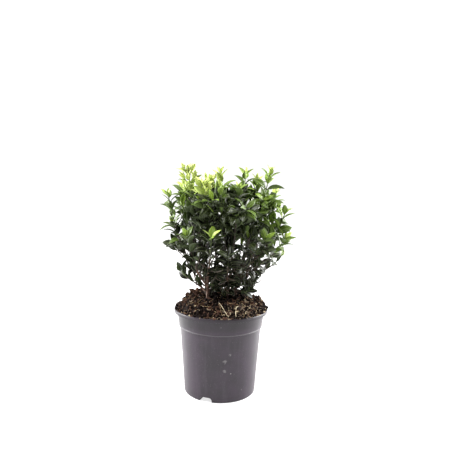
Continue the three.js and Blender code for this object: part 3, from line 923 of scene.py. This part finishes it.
def loose(name, shape):
    """A helper body that is cut from or joined to another and then removed."""
    body = placed(name, mesh_from(name, *shape))
    fix = bmesh.new()
    fix.from_mesh(body.data)
    bmesh.ops.recalc_face_normals(fix, faces=fix.faces)
    fix.to_mesh(body.data)
    fix.free()
    return body


def combine(body, helper, operation):
    """Joins or cuts the body with a helper body, which is then removed."""
    step = body.modifiers.new("step", "BOOLEAN")
    step.operation = operation
    step.solver = "EXACT"
    step.object = helper
    bpy.context.view_layer.update()
    made = bpy.data.meshes.new_from_object(body.evaluated_get(bpy.context.evaluated_depsgraph_get()))
    body.modifiers.clear()
    body.data = made
    bpy.data.objects.remove(helper)


def make_pot():
    profile = pot_profile()
    mouth = LIP_RADIUS - LIP_THICKNESS
    inside = next(i for i, (radius, z) in enumerate(profile) if z == POT_HEIGHT and radius < mouth)
    shell = loose("pot_shell", lathe(profile, POT_SIDES))
    for turn in NOTCH_TURNS:
        housing = loose("housing", tunnel(WALL, turn))
        filled = loose("filled", lathe([*profile[:inside], np.array([0, POT_HEIGHT])], POT_SIDES))
        combine(housing, filled, "INTERSECT")
        combine(shell, housing, "UNION")
    for turn in NOTCH_TURNS:
        combine(shell, loose("notch", tunnel(0.0, turn)), "DIFFERENCE")
        combine(shell, loose("drain", drain(turn)), "DIFFERENCE")
    mesh = shell.data
    bpy.data.objects.remove(shell)
    mesh.polygons.foreach_set("use_smooth", [True] * len(mesh.polygons))
    mesh.set_sharp_from_angle(angle=math.radians(SHARP_ANGLE))
    mesh.materials.clear()
    link_piece("nursery_pot", mesh, plastic_material(), ["pot"])


# Soil

def soil_top(x, y):
    """Height of the soil's heaped, lumpy top."""
    out = min(1.0, math.hypot(x, y) / SOIL_RADIUS)
    swell = 1 - out**HEAP_POWER
    wide, fine = COARSE_LUMPS, FINE_LUMPS
    lumps = math.sin(wide["x"] * x + wide["lead"]) * math.cos(wide["y"] * y - wide["lag"])
    lumps += fine["share"] * math.sin(fine["x"] * x + fine["y"] * y)
    return POT_HEIGHT + swell * (HEAP_RISE + LUMP * lumps)


def crumbly(x, y, z):
    """The soil's surface roughened by clods, where it is open to the air."""
    if z < POT_HEIGHT - LIP_EDGE:
        return z
    rough = soil_top(x, y) - SOIL_SINK
    for relief in SOIL_RELIEF:
        place = Vector((x, y, relief["layer"])) / relief["size"]
        rough += relief["height"] * noise.fractal(place, relief["fade"], LACUNARITY, relief["octaves"])
    return rough


def make_ground():
    floor = NOTCH_HEIGHT + WALL + CLEAR
    wall = [
        (0, floor),
        (BODY_FOOT_RADIUS - WALL - CLEAR, floor),
        (BODY_TOP_RADIUS - WALL - CLEAR, RING_HEIGHT - RING_STEP),
        (BAND_FOOT_RADIUS - WALL - CLEAR, RING_HEIGHT),
    ]
    rings = [(SOIL_RADIUS * share, POT_HEIGHT) for share in np.linspace(1, 0, SOIL_RINGS)]
    mesh = mesh_from("soil_ground", *lathe([*wall, *rings], SOIL_SIDES, crumbly))
    link_piece("soil_ground", mesh, soil_material("peat", *PEAT_LOOKS), ["soil"])


def chunk_shapes(random):
    """Several rough angular lumps of unit size."""
    ball = bmesh.new()
    bmesh.ops.create_icosphere(ball, subdivisions=1, radius=1.0)
    corners = np.array([v.co for v in ball.verts])
    faces = [tuple(v.index for v in face.verts) for face in ball.faces]
    ball.free()
    count = len(corners)
    shapes = [corners * random.uniform(*CHUNK_ROUGHNESS, (count, 1)) for _ in range(CHUNK_SHAPES)]
    return shapes, faces


def scatter(name, seed, spots, sizes, form, material):
    """Chunks strewn at the given spots, each of its own size, turned at random."""
    random = np.random.default_rng(seed)
    shapes, faces = chunk_shapes(random)
    heap = Heap()
    turns = [Quaternion(q).normalized().to_matrix() for q in random.normal(size=(len(spots), 4))]
    for spot, size, turn in zip(spots, sizes, turns):
        shape = shapes[random.integers(len(shapes))] * np.array(form) * random.uniform(*CHUNK_SPREAD, 3)
        heap.add(shape * size @ np.array(turn).T + spot, faces)
    link_piece(name, heap.mesh(name, smooth=False), material)


def ring_spots(radius, turn):
    return np.stack([radius * np.cos(turn), radius * np.sin(turn)], 1)


def on_soil(spots):
    """The given spots at the height of the soil's top."""
    return np.array([(x, y, soil_top(x, y)) for x, y in spots])


def strewn(random, count, reach):
    """Spots spread evenly over the heap, out to the given radius."""
    radius = reach * np.sqrt(random.uniform(0, 1, count))
    return on_soil(ring_spots(radius, random.uniform(0, 2 * math.pi, count)))


def on_lip(random, count):
    """Spots on the top of the pot's lip."""
    radius = random.uniform(SOIL_RADIUS, LIP_RADIUS - LIP_EDGE, count)
    return on_soil(ring_spots(radius, random.uniform(0, 2 * math.pi, count)))


def in_clump(random, count):
    """Spots in the clump of soil at the lip on the right, which falls away round its middle."""
    share = random.normal(size=(count, 2))
    rises = CLUMP_RISE * np.exp(-(share**2).sum(1) / 2) * random.uniform(0, 1, count)
    spots = on_soil(CLUMP_PLACE + share * CLUMP_SPREAD)
    spots[:, 2] += rises
    return spots[np.hypot(*spots[:, :2].T) < LIP_RADIUS]


def off_crown_shadow(random, spots):
    """The spots of paler bits, few of them round the stems, so that the soil there is darker as painted
    shade under the crown.
    """
    near, far = CROWN_SHADOW_RADII
    away = np.hypot(*(spots[:, :2] - CROWN_SHADOW_PLACE).T)
    share = np.clip((away - near) / (far - near), CROWN_SHADOW_SHARE, 1)
    return spots[random.uniform(0, 1, len(spots)) < share]


def make_crumbs():
    for name, (seed, count, (small, large), form, dark, light) in CRUMBS.items():
        random = np.random.default_rng(seed)
        few = count // EDGE_PART
        spots = [strewn(random, count, SOIL_RADIUS), on_lip(random, few), in_clump(random, few)]
        spots = np.concatenate(spots)
        # Painted shade: paler bits thin out round the stems
        if name not in SHADOW_KEPT_BITS:
            spots = off_crown_shadow(random, spots)
        if name in FRONT_BITS:
            forward = 0.5 + 0.5 * (spots[:, :2] @ FRONT_WAY) / LIP_RADIUS
            spots = spots[random.uniform(0, 1, len(spots)) < forward**FRONT_POWER]
        sizes = taper(small, large, random.uniform(0, 1, len(spots)) ** 2)
        spots[:, 2] += sizes * random.uniform(*CRUMB_LIFT, len(spots))
        material = soil_material(name, dark, light, CRUMB_GRAIN)
        scatter(name, seed + SHAPE_SEED, spots, sizes, form, material)


def make_chips():
    """Flat splinters of bark, some standing up out of the soil."""
    seed, shape_seed = CHIP_SEEDS
    random = np.random.default_rng(seed)
    # Painted shade: fewer chips round the stems
    spots = off_crown_shadow(random, strewn(random, CHIP_COUNT, CHIP_REACH))
    sizes = random.uniform(*CHIP_SIZES, len(spots))
    spots[:, 2] += sizes * random.uniform(*CHIP_LIFT, len(spots))
    x, y, rise = (random.uniform(*room, LOOSE_CHIPS) for room in LOOSE_ROOM)
    loose_spots = on_soil(np.stack([x, y], 1))
    loose_spots[:, 2] += rise
    spots = np.concatenate([spots, loose_spots])
    sizes = np.concatenate([sizes, random.uniform(*LOOSE_SIZES, LOOSE_CHIPS)])
    scatter("bark_chips", shape_seed, spots, sizes, CHIP_FORM, soil_material("bark_chips", *CHIP_LOOKS))


def lay_strand(heap, start, turn, length, bow, radius, lift):
    """A strand laid on the soil from a spot, in a direction, bowed sideways."""
    shares = np.linspace(0, 1, STRAND_POINTS)
    along, aside = length * shares, length * bow * shares * (1 - shares)
    x = start[0] + along * np.cos(turn) - aside * np.sin(turn)
    y = start[1] + along * np.sin(turn) + aside * np.cos(turn)
    keep = np.hypot(x, y) < LIP_RADIUS
    axis = on_soil(zip(x[keep], y[keep])) + lift * UP
    if len(axis) > 2:
        heap.add(*tube(axis, [radius] * len(axis), STRAND_SIDES))


def make_fibres():
    """Fine pale fibres lying on the soil, and two straws at the front."""
    random = np.random.default_rng(FIBRE_SEED)
    fibres, straws = Heap(), Heap()
    # Painted shade: fewer fibres round the stems
    for x, y, _ in off_crown_shadow(random, strewn(random, FIBRE_COUNT, FIBRE_REACH)):
        length = random.uniform(*FIBRE_LENGTH)
        turn = random.uniform(0, 2 * math.pi)
        bow = random.uniform(*FIBRE_BOW)
        radius = random.uniform(*FIBRE_RADIUS)
        lay_strand(fibres, (x, y), turn, length, bow, radius, random.uniform(*FIBRE_LIFT))
    for straw in STRAWS:
        lay_strand(straws, *straw)
    link_piece("fibres", fibres.mesh("fibres"), soil_material("fibres", *FIBRE_LOOKS))
    link_piece("straws", straws.mesh("straws"), soil_material("straw", *STRAW_LOOKS))


# Limbs

def stem_radius(share):
    """A stem's radius: an even taper, with a flare where it leaves the soil."""
    flare = (STEM_FLARE - STEM_RADIUS) * np.maximum(0, 1 - share / FLARE_SHARE) ** 2
    return taper(STEM_RADIUS, STEM_TIP_RADIUS, share) + flare


def bough_radius(share):
    return taper(BOUGH_RADIUS, BOUGH_TIP_RADIUS, share)


def shoot_end(start, reach):
    """Where a shoot's own line ends, short of the leaf tips it reaches."""
    arriving = unit(unit(reach - start) + UP * UPTURN)
    return reach - arriving * LEAF_OVERHANG, arriving


def grow_bough(line, length, height, tip):
    """The fork of a side bough on its stem, its own line and that of the leafy shoot it carries."""
    fork, _ = walk(line, height)
    outward = unit((tip - fork) * np.array([1, 1, 0]))
    leaving = unit(outward + UP * BOUGH_RISE)
    start = fork + outward * (stem_radius(height / length) + CLEAR + BOUGH_RADIUS * leaving[2])
    end, arriving = shoot_end(start, tip)
    whole = bend(start, leaving, end, arriving)
    total = lengths(whole)[-1]
    cut = min(BOUGH_LENGTH, BOUGH_SHARE * total)
    return fork, stretch(whole, 0, cut, BOUGH_STEPS), stretch(whole, cut, total, CURVE_STEPS)


def grow_stem(name, foot, tips):
    """One stem with its leader, its side boughs and the line of each leafy shoot."""
    base = np.array([*foot, soil_top(*foot) - STEM_SEAT], float)
    reaches = [(np.array(tip[:3], float), tip[3]) for tip in tips]
    end, arriving = shoot_end(base, reaches[0][0])
    line = bend(base, UP, end, arriving)
    sides = sorted(reaches[1:], key=lambda reach: reach[0][2])
    length = STEM_SEAT + FIRST_BOUGH + BOUGH_STEP * (len(sides) - 1) + LEADER_CLEARANCE
    leader = stretch(line, length, lengths(line)[-1], CURVE_STEPS)
    shoots = [{"name": f"{name}_1", "axis": leader, "flush": reaches[0][1]}]
    boughs = []
    for i, (tip, flush) in enumerate(sides):
        fork, axis, shoot = grow_bough(line, length, STEM_SEAT + FIRST_BOUGH + BOUGH_STEP * i, tip)
        boughs.append({"name": f"{name}_bough_{i + 1}", "axis": axis, "fork": fork})
        shoots.append({"name": f"{name}_{i + 2}", "axis": shoot, "flush": flush})
    return {"name": name, "axis": stretch(line, 0, length, STEM_STEPS), "boughs": boughs, "shoots": shoots}


def add_limb(heap, root, axis, radius, form, shift):
    """A limb with shallow bark ridges and swollen rings at old leaf scars, carried on into its root."""
    def relief(ring, angle):
        round_limb = RIDGE_TURN * math.cos(angle), RIDGE_TURN * math.sin(angle)
        place = Vector((*round_limb, RIDGE_STEP * ring + shift))
        scar = max(0.0, math.cos(SCAR_STEP * ring + shift)) ** SCAR_POWER
        return 1 + form["ridges"] * noise.fractal(place, *RIDGE_NOISE) + SCAR_LIFT * scar

    line = np.concatenate([[root], recut(axis, form["rings"])])
    radii = radius(np.linspace(0, 1, form["rings"] + 1))
    heap.add(*tube(line, np.append(form["root"] * radii[0], radii), form["sides"], relief))


def make_stems(stems):
    material = bark_material("bark", *BARK_SHADES)
    for number, stem in enumerate(stems):
        heap = Heap()
        shift = STEM_SHIFT * number
        add_limb(heap, stem["axis"][0] - STEM_ROOT * UP, stem["axis"], stem_radius, STEM_MESH, shift)
        for i, bough in enumerate(stem["boughs"]):
            own_shift = shift + BOUGH_SHIFT * i + FIRST_SHIFT
            add_limb(heap, bough["fork"], bough["axis"], bough_radius, BOUGH_MESH, own_shift)
        nodes = [f"stem_{stem['name']}", *[bough["name"] for bough in stem["boughs"]]]
        name = f"bark_{stem['name']}"
        link_piece(name, heap.mesh(name), material, nodes)


# Foliage

class Crown:
    """The room that each shoot has for its twigs and leaves."""

    def __init__(self, stems):
        self.shoots = [shoot for stem in stems for shoot in stem["shoots"]]
        self.tops = [shoot["axis"][-1][2] + LEAF_OVERHANG for shoot in self.shoots]
        self.limbs = [stem["axis"] for stem in stems]
        self.limbs += [bough["axis"] for stem in stems for bough in stem["boughs"]]
        self.shoot_lines = self.pieces([recut(shoot["axis"], SHOOT_PIECES) for shoot in self.shoots])
        self.limb_lines = self.pieces(self.limbs)

    @staticmethod
    def pieces(lines):
        """The starts and ends of all straight pieces of the lines."""
        return np.concatenate([line[:-1] for line in lines]), np.concatenate([line[1:] for line in lines])

    @staticmethod
    def gaps(points, starts, ends):
        """How far each point is from each piece of line."""
        runs = ends - starts
        towards = points[:, None] - starts
        share = np.clip((towards * runs).sum(2) / (runs**2).sum(1), 0, 1)
        return np.linalg.norm(towards - share[..., None] * runs, axis=2)

    def inside(self, points, number):
        """Whether all points lie in the crown, off the soil and the limbs, and near their own shoot."""
        points = np.asarray(points)
        if (points < CROWN_LOW).any() or (points > CROWN_HIGH).any():
            return False
        for x, y, z in points:
            if math.hypot(x, y) < LIP_RADIUS + LIP_MARGIN and z < soil_top(x, y) + SOIL_MARGIN:
                return False
        if self.gaps(points, *self.limb_lines).min() < STEM_RADIUS + LIMB_ROOM:
            return False
        if number is None:
            return True
        near = self.gaps(points, *self.shoot_lines).reshape(len(points), len(self.shoots), -1).min(2)
        own = near[:, number].copy()
        near[:, number] = np.inf
        return bool((own < near.min(1) + MINGLE).all())

    def inner(self, point, top):
        """Whether a twig's end lies in the inner crown: above its skirt and below the given height."""
        wide = (((point[:2] - TWIG_CENTER) / TWIG_REACH) ** 2).sum() >= 1
        return self.over_skirt(point) > TWIG_SKIRT and point[2] < top and not wide

    def twig_top(self, number, drop):
        """How high a shoot's side twigs may end."""
        return TWIG_TOP if number is None else min(TWIG_TOP, self.tops[number] - drop)

    @staticmethod
    def over_skirt(point):
        """How high a point is over the crown's narrowing lower edge."""
        out = math.hypot(*(point[:2] - SKIRT_CENTER))
        return point[2] - SKIRT_HEIGHT - SKIRT_RISE * (out - SKIRT_RADIUS)

    @staticmethod
    def shed(point):
        """The share of leaves that have dropped here: most low down and far in."""
        low = held((SHED_TOP - point[2]) / SHED_DEPTH)
        deep = held((SHED_REACH - math.hypot(*(point[:2] - SKIRT_CENTER))) / SHED_EDGE)
        return SHED_SHARE * low * deep


def shade_tone(at, jitter, young):
    """The tone of a grown leaf: lighter high up, far out and near a flushed tip; the darkening low down and
    deep inside is partly older leaves and partly painted shade.
    """
    # Partly painted shade: lightness rises with height and with distance out from the crown's middle
    out = math.hypot(at[0] - SHADE_CENTER, SHADE_DEPTH * at[1])
    light = SHADE_RISE * (at[2] - SHADE_BASE) / SHADE_HEIGHT + SHADE_OUT * out / SHADE_REACH
    light += SHADE_JITTER * (jitter - 0.5) + FLUSH_LIGHT * young
    return next((name for name, least in SHADE_STEPS if light > least), "deep")


def youth(flush, k):
    """How young a shoot's k-th leaf pair looks: a strong flush reaches further down."""
    least, more = FLUSH_SPAN
    return flush * max(0.0, 1 - k / (least + more * flush**4))


def leaf_tone(at, young, draw):
    """Young leaves of a flushed shoot are yellow-green; grown ones follow their place in the crown, partly
    as painted shade.
    """
    jitter = draw()
    shown = young + FLUSH_JITTER * (jitter - 0.5)
    fresh = next((name for name, least in FLUSH_STEPS if shown > least), None)
    return fresh or shade_tone(at, jitter, young)


def leaf_curve(curl, shares):
    """Run, rise and heading along a leaf that rises from its stalk and curls over towards its tip."""
    steps = np.linspace(0, 1, CURL_STEPS + 1)
    heading = curl * (CURL_RISE - steps**CURL_POWER)
    middle = heading[1:] / 2 + heading[:-1] / 2
    run, rise = (np.append(0.0, np.cumsum(way(middle))) / CURL_STEPS for way in (np.cos, np.sin))
    return (np.interp(shares, steps, row) for row in (run, rise, heading))


class Foliage:
    """Grows twigs and leaf pairs on every shoot, in crossed pairs from the tip down."""

    def __init__(self, crown):
        self.crown = crown
        self.leaves = []
        self.twigs = []

    def add_leaf(self, number, at, ahead, turn, angle, leaf):
        """Adds a leaf, closed up toward its twig until it fits; without room there is none."""
        outward = sideways(ahead, turn)
        for share in CLOSING:
            opening = math.radians(angle * share)
            along = ahead * math.cos(opening) + outward * math.sin(opening) - UP * leaf["droop"] * share
            along = unit(along)
            normal = unit(ahead - along * np.dot(ahead, along))
            length = leaf["length"] * taper(CLOSED_LENGTH, 1.0, share)
            run, rise, _ = leaf_curve(leaf["curl"], np.array([0.5, 1.0]))
            middle, end = at + length * (run[:, None] * along + rise[:, None] * normal)
            half = np.cross(along, normal) * length * leaf["breadth"] / 2
            hangs = self.crown.over_skirt(end) < leaf["ragged"]
            if not hangs and self.crown.inside([end, middle, middle + half, middle - half], number):
                self.leaves.append({**leaf, "root": at, "along": along, "normal": normal, "length": length})
                return

    def add_pairs(self, number, axis, order, keys, flush):
        """Adds the leaf pairs of one line and returns the nodes that they grow from."""
        nodes = []
        place = lengths(axis)[-1] - TIP_SETBACK
        turn = seeded(*keys)() * math.pi
        hang = -SPRAY_HANG * max(0.0, 1 - abs(axis[-1][2] - SPRAY_HEIGHT) / SPRAY_EASE)
        gain = ANGLE_GAIN * (1 - FLUSH_CLOSING * flush)
        k = 0
        while place > BARE[order]:
            draw = seeded(*keys, k)
            at, ahead = walk(axis, place)
            age = k + TWIG_AGE[order] * (1 - flush)
            young = youth(flush, k)
            grown = min(1.0, YOUNG_LENGTH + LENGTH_GAIN * age)
            if order:
                grown *= taper(LOW_LENGTH, 1.0, held((at[2] - LOW_FROM) / LOW_RISE))
            length = LEAF_LENGTH * grown * (1 + about(draw, LENGTH_SPREAD))
            angle = min(FULL_ANGLE, YOUNG_ANGLE + gain * age) + about(draw, ANGLE_SPREAD)
            curl = min(FULL_CURL, LEAF_CURL + CURL_GAIN * age)
            breadth = LEAF_BREADTH * min(1.0, YOUNG_BREADTH + BREADTH_GAIN * age + FLUSH_BREADTH * young)
            leaf = {
                "length": length,
                "droop": min(FULL_DROOP, DROOP_GAIN * age),
                "tone": leaf_tone(at, young, draw),
            }
            kept = at[2] < SHED_BASE or (order == 0 and k < SHED_FROM)
            for half in (0.0, math.pi):
                leaf["roll"] = about(draw, LEAF_ROLL)
                leaf["curl"] = curl * (1 + about(draw, CURL_SPREAD))
                leaf["breadth"] = breadth * (1 + about(draw, BREADTH_SPREAD))
                leaf["variant"] = int(draw() * LEAF_VARIANTS)
                leaf["ragged"] = SKIRT_RAGGED * draw() if order else hang
                leaf_turn = turn + half + about(draw, LEAF_TURN_SPREAD)
                if kept or draw() >= self.crown.shed(at):
                    self.add_leaf(number, at, ahead, leaf_turn, angle, leaf)
            nodes.append((at, ahead, turn, k))
            turn += math.pi / 2 + about(draw, TURN_SPREAD)
            gap = min(INTERNODE, FIRST_GAP - FLUSH_GAP * flush + GAP_GAIN * k)
            place -= gap * (1 + about(draw, GAP_SPREAD))
            k += 1
        return nodes

    def twig_line(self, number, at, ahead, turn, length, top, angle=TWIG_ANGLE, root=TWIG_ROOT_STEPS):
        """The line of a side twig from the angle of a leaf, or none where it would leave its space."""
        opening = math.radians(angle)
        leaving = ahead * math.cos(opening) + sideways(ahead, turn) * math.sin(opening)
        arriving = unit(leaving + UP * UPTURN)
        for cut in TWIG_CUTS:
            line = bend(at, leaving, at + leaving * length * cut, arriving)
            if self.crown.inner(line[-1], top) and self.crown.inside(line[root:], number):
                return line
        return None

    def grow(self, number, axis, keys, flush, order=0):
        """A leafy line, then the twigs from the angles of its lower leaves."""
        self.twigs.append((axis, order))
        nodes = self.add_pairs(number, axis, order, keys, flush)
        if order >= len(TWIG_SHARE):
            return
        tufted = order == 0 and self.crown.shoots[number]["name"] in TUFTED
        for at, ahead, turn, k in nodes:
            for side in (0, 1):
                draw = seeded(*keys, k, CHOICE_KEY + side)
                chosen = draw() < TWIG_SHARE[order]
                length, angle = TWIG_LENGTH[order] * taper(TWIG_SHORTEST, 1.0, draw()), TWIG_ANGLE
                tuft = tufted and k in TUFT_PAIRS
                if tuft:
                    length, angle, top = TUFT_LENGTH, TUFT_ANGLE, self.crown.tops[number] - TUFT_DROP
                elif k < TWIG_FROM[order] or not chosen:
                    continue
                else:
                    top = self.crown.twig_top(number, TWIG_DROP)
                line = self.twig_line(number, at, ahead, turn + math.pi * side, length, top, angle)
                if line is not None:
                    high = (line[-1][2] - TWIG_FLUSH_LOW) / TWIG_FLUSH_RISE
                    paler = 1.0 if tuft else TWIG_FLUSH * min(1.0, max(TWIG_FLUSH_LEAST, high))
                    self.grow(number, line, (*keys, k, TWIG_KEY + side), paler * flush, order + 1)

    def grow_on_limb(self, axis, keys):
        """Short dark twigs all along a bare limb."""
        for i, place in enumerate(np.arange(LIMB_TWIG_STEP, lengths(axis)[-1], LIMB_TWIG_STEP)):
            draw = seeded(*keys, i)
            at, ahead = walk(axis, place)
            length = LIMB_TWIG_LENGTH * taper(TWIG_SHORTEST, 1.0, draw())
            turn = 2 * math.pi * draw()
            line = self.twig_line(None, at, ahead, turn, length, TWIG_TOP, root=LIMB_ROOT_STEPS)
            if line is not None:
                self.grow(None, line, (*keys, i, LIMB_TWIG_KEY), 0.0, 1)


def blade_width(share):
    """Half-width of a leaf along its length, as a share of its widest: stalk, blade and pointed tip."""
    blade = np.clip((share - STALK_SHARE) / (1 - STALK_SHARE), 0, 1)
    return np.maximum(STALK_WIDTH, np.sin(math.pi * blade**BLADE_SKEW) ** BLADE_POWER)


def leaf_points(leaf):
    """The points of one arched, folded blade with a short stalk."""
    side = np.cross(leaf["along"], leaf["normal"])
    c, s = math.cos(leaf["roll"]), math.sin(leaf["roll"])
    side, normal = side * c + leaf["normal"] * s, leaf["normal"] * c - side * s
    width = blade_width(LEAF_SHARES) * leaf["breadth"] / 2
    run, rise, heading = leaf_curve(leaf["curl"], np.append(LEAF_SHARES, 1.0))
    spine = run[:, None] * leaf["along"] + rise[:, None] * normal
    facing = np.cos(heading)[:, None] * normal - np.sin(heading)[:, None] * leaf["along"]
    out = LEAF_AROUND[:, 0] * width[:, None]
    lift = LEAF_FOLD * np.abs(out) - LEAF_FLATTENING * out**2 / leaf["breadth"]
    thick = LEAF_THICKNESS * np.minimum(1, width / width.max() + STALK_THICKNESS)
    lift = lift + LEAF_AROUND[:, 1] * thick[:, None] / 2
    places = spine[:-1, None] + out[..., None] * side + lift[..., None] * facing[:-1, None]
    return leaf["root"] + leaf["length"] * np.concatenate([places.reshape(-1, 3), spine[-1:]])


def leaf_maps(faces):
    """For each variant, where the corners of a leaf's faces lie on the map: upper sides in the upper row."""
    sides = len(LEAF_AROUND)
    tip = len(LEAF_SHARES) * sides
    spread = 1 - 2 * MAP_MARGIN
    places = []
    for face in faces:
        ring = LEAF_AROUND[[i % sides for i in face if i < tip]]
        upper = float(ring[:, 1].max() > 0)
        for i in face:
            share = LEAF_SHARES[i // sides] if i < tip else 1.0
            out = LEAF_AROUND[i % sides][0] if i < tip else ring[:, 0].mean()
            places.append((MAP_MARGIN + spread * (out + 1) / 2, (MAP_MARGIN + spread * share + upper) / 2))
    return [(np.array(places) + (variant, 0)) / (LEAF_VARIANTS, 1) for variant in range(LEAF_VARIANTS)]


def make_leaves(leaves):
    """One joined mesh for each leaf tone."""
    rings, sides = len(LEAF_SHARES), len(LEAF_AROUND)
    last, tip = (rings - 1) * sides, rings * sides
    faces = grid_faces(rings, sides)
    faces += [(last + j, last + (j + 1) % sides, tip) for j in range(sides)]
    faces.append(tuple(range(sides - 1, -1, -1)))
    maps = leaf_maps(faces)
    for tone, looks in LEAF_TONES.items():
        chosen = [leaf for leaf in leaves if leaf["tone"] == tone]
        heap = Heap()
        for leaf in chosen:
            heap.add(leaf_points(leaf), faces)
        name = f"leaves_{tone}"
        mesh = heap.mesh(name)
        places = np.concatenate([maps[leaf["variant"]] for leaf in chosen]).ravel()
        for layer in (LEAF_MAP, BAKE_MAP):
            mesh.uv_layers.new(name=layer).data.foreach_set("uv", places)
        link_piece(name, mesh, leaf_material(name, *looks))


def make_twigs(twigs, nodes):
    """The shoots and twigs: brown near the boughs, green towards the tips."""
    woody, green = Heap(), Heap()
    for axis, order in twigs:
        length = lengths(axis)[-1]
        turning = GREEN_FROM if order == 0 else float(axis[-1][2] < GREEN_HEIGHT)
        for heap, start, end in ((woody, 0.0, turning), (green, turning, 1.0)):
            if end > start:
                steps = max(TWIG_PIECES, int((end - start) * length / TWIG_PIECE))
                line = stretch(axis, start * length, end * length, steps)
                radii = taper(FOOT_RADIUS[order], TIP_RADIUS[order], np.linspace(start, end, steps + 1))
                heap.add(*tube(line, radii, TWIG_SIDES))
    brown = twig_material("twig_brown", *BROWN_TWIG)
    fresh = twig_material("twig_green", *GREEN_TWIG)
    link_piece("twigs_brown", woody.mesh("twigs_brown"), brown, nodes)
    link_piece("twigs_green", green.mesh("twigs_green"), fresh)


def make_foliage(stems):
    crown = Crown(stems)
    foliage = Foliage(crown)
    for number, shoot in enumerate(crown.shoots):
        foliage.grow(number, shoot["axis"], (number,), shoot["flush"])
    for number, axis in enumerate(crown.limbs):
        foliage.grow_on_limb(axis, (LIMB_KEY, number))
    make_twigs(foliage.twigs, [f"foliage_{shoot['name']}" for shoot in crown.shoots])
    make_leaves(foliage.leaves)


set_camera()
set_light()
set_floor()
make_pot()
make_ground()
make_crumbs()
make_chips()
make_fibres()
plant = [grow_stem(*stem) for stem in STEMS]
make_stems(plant)
make_foliage(plant)
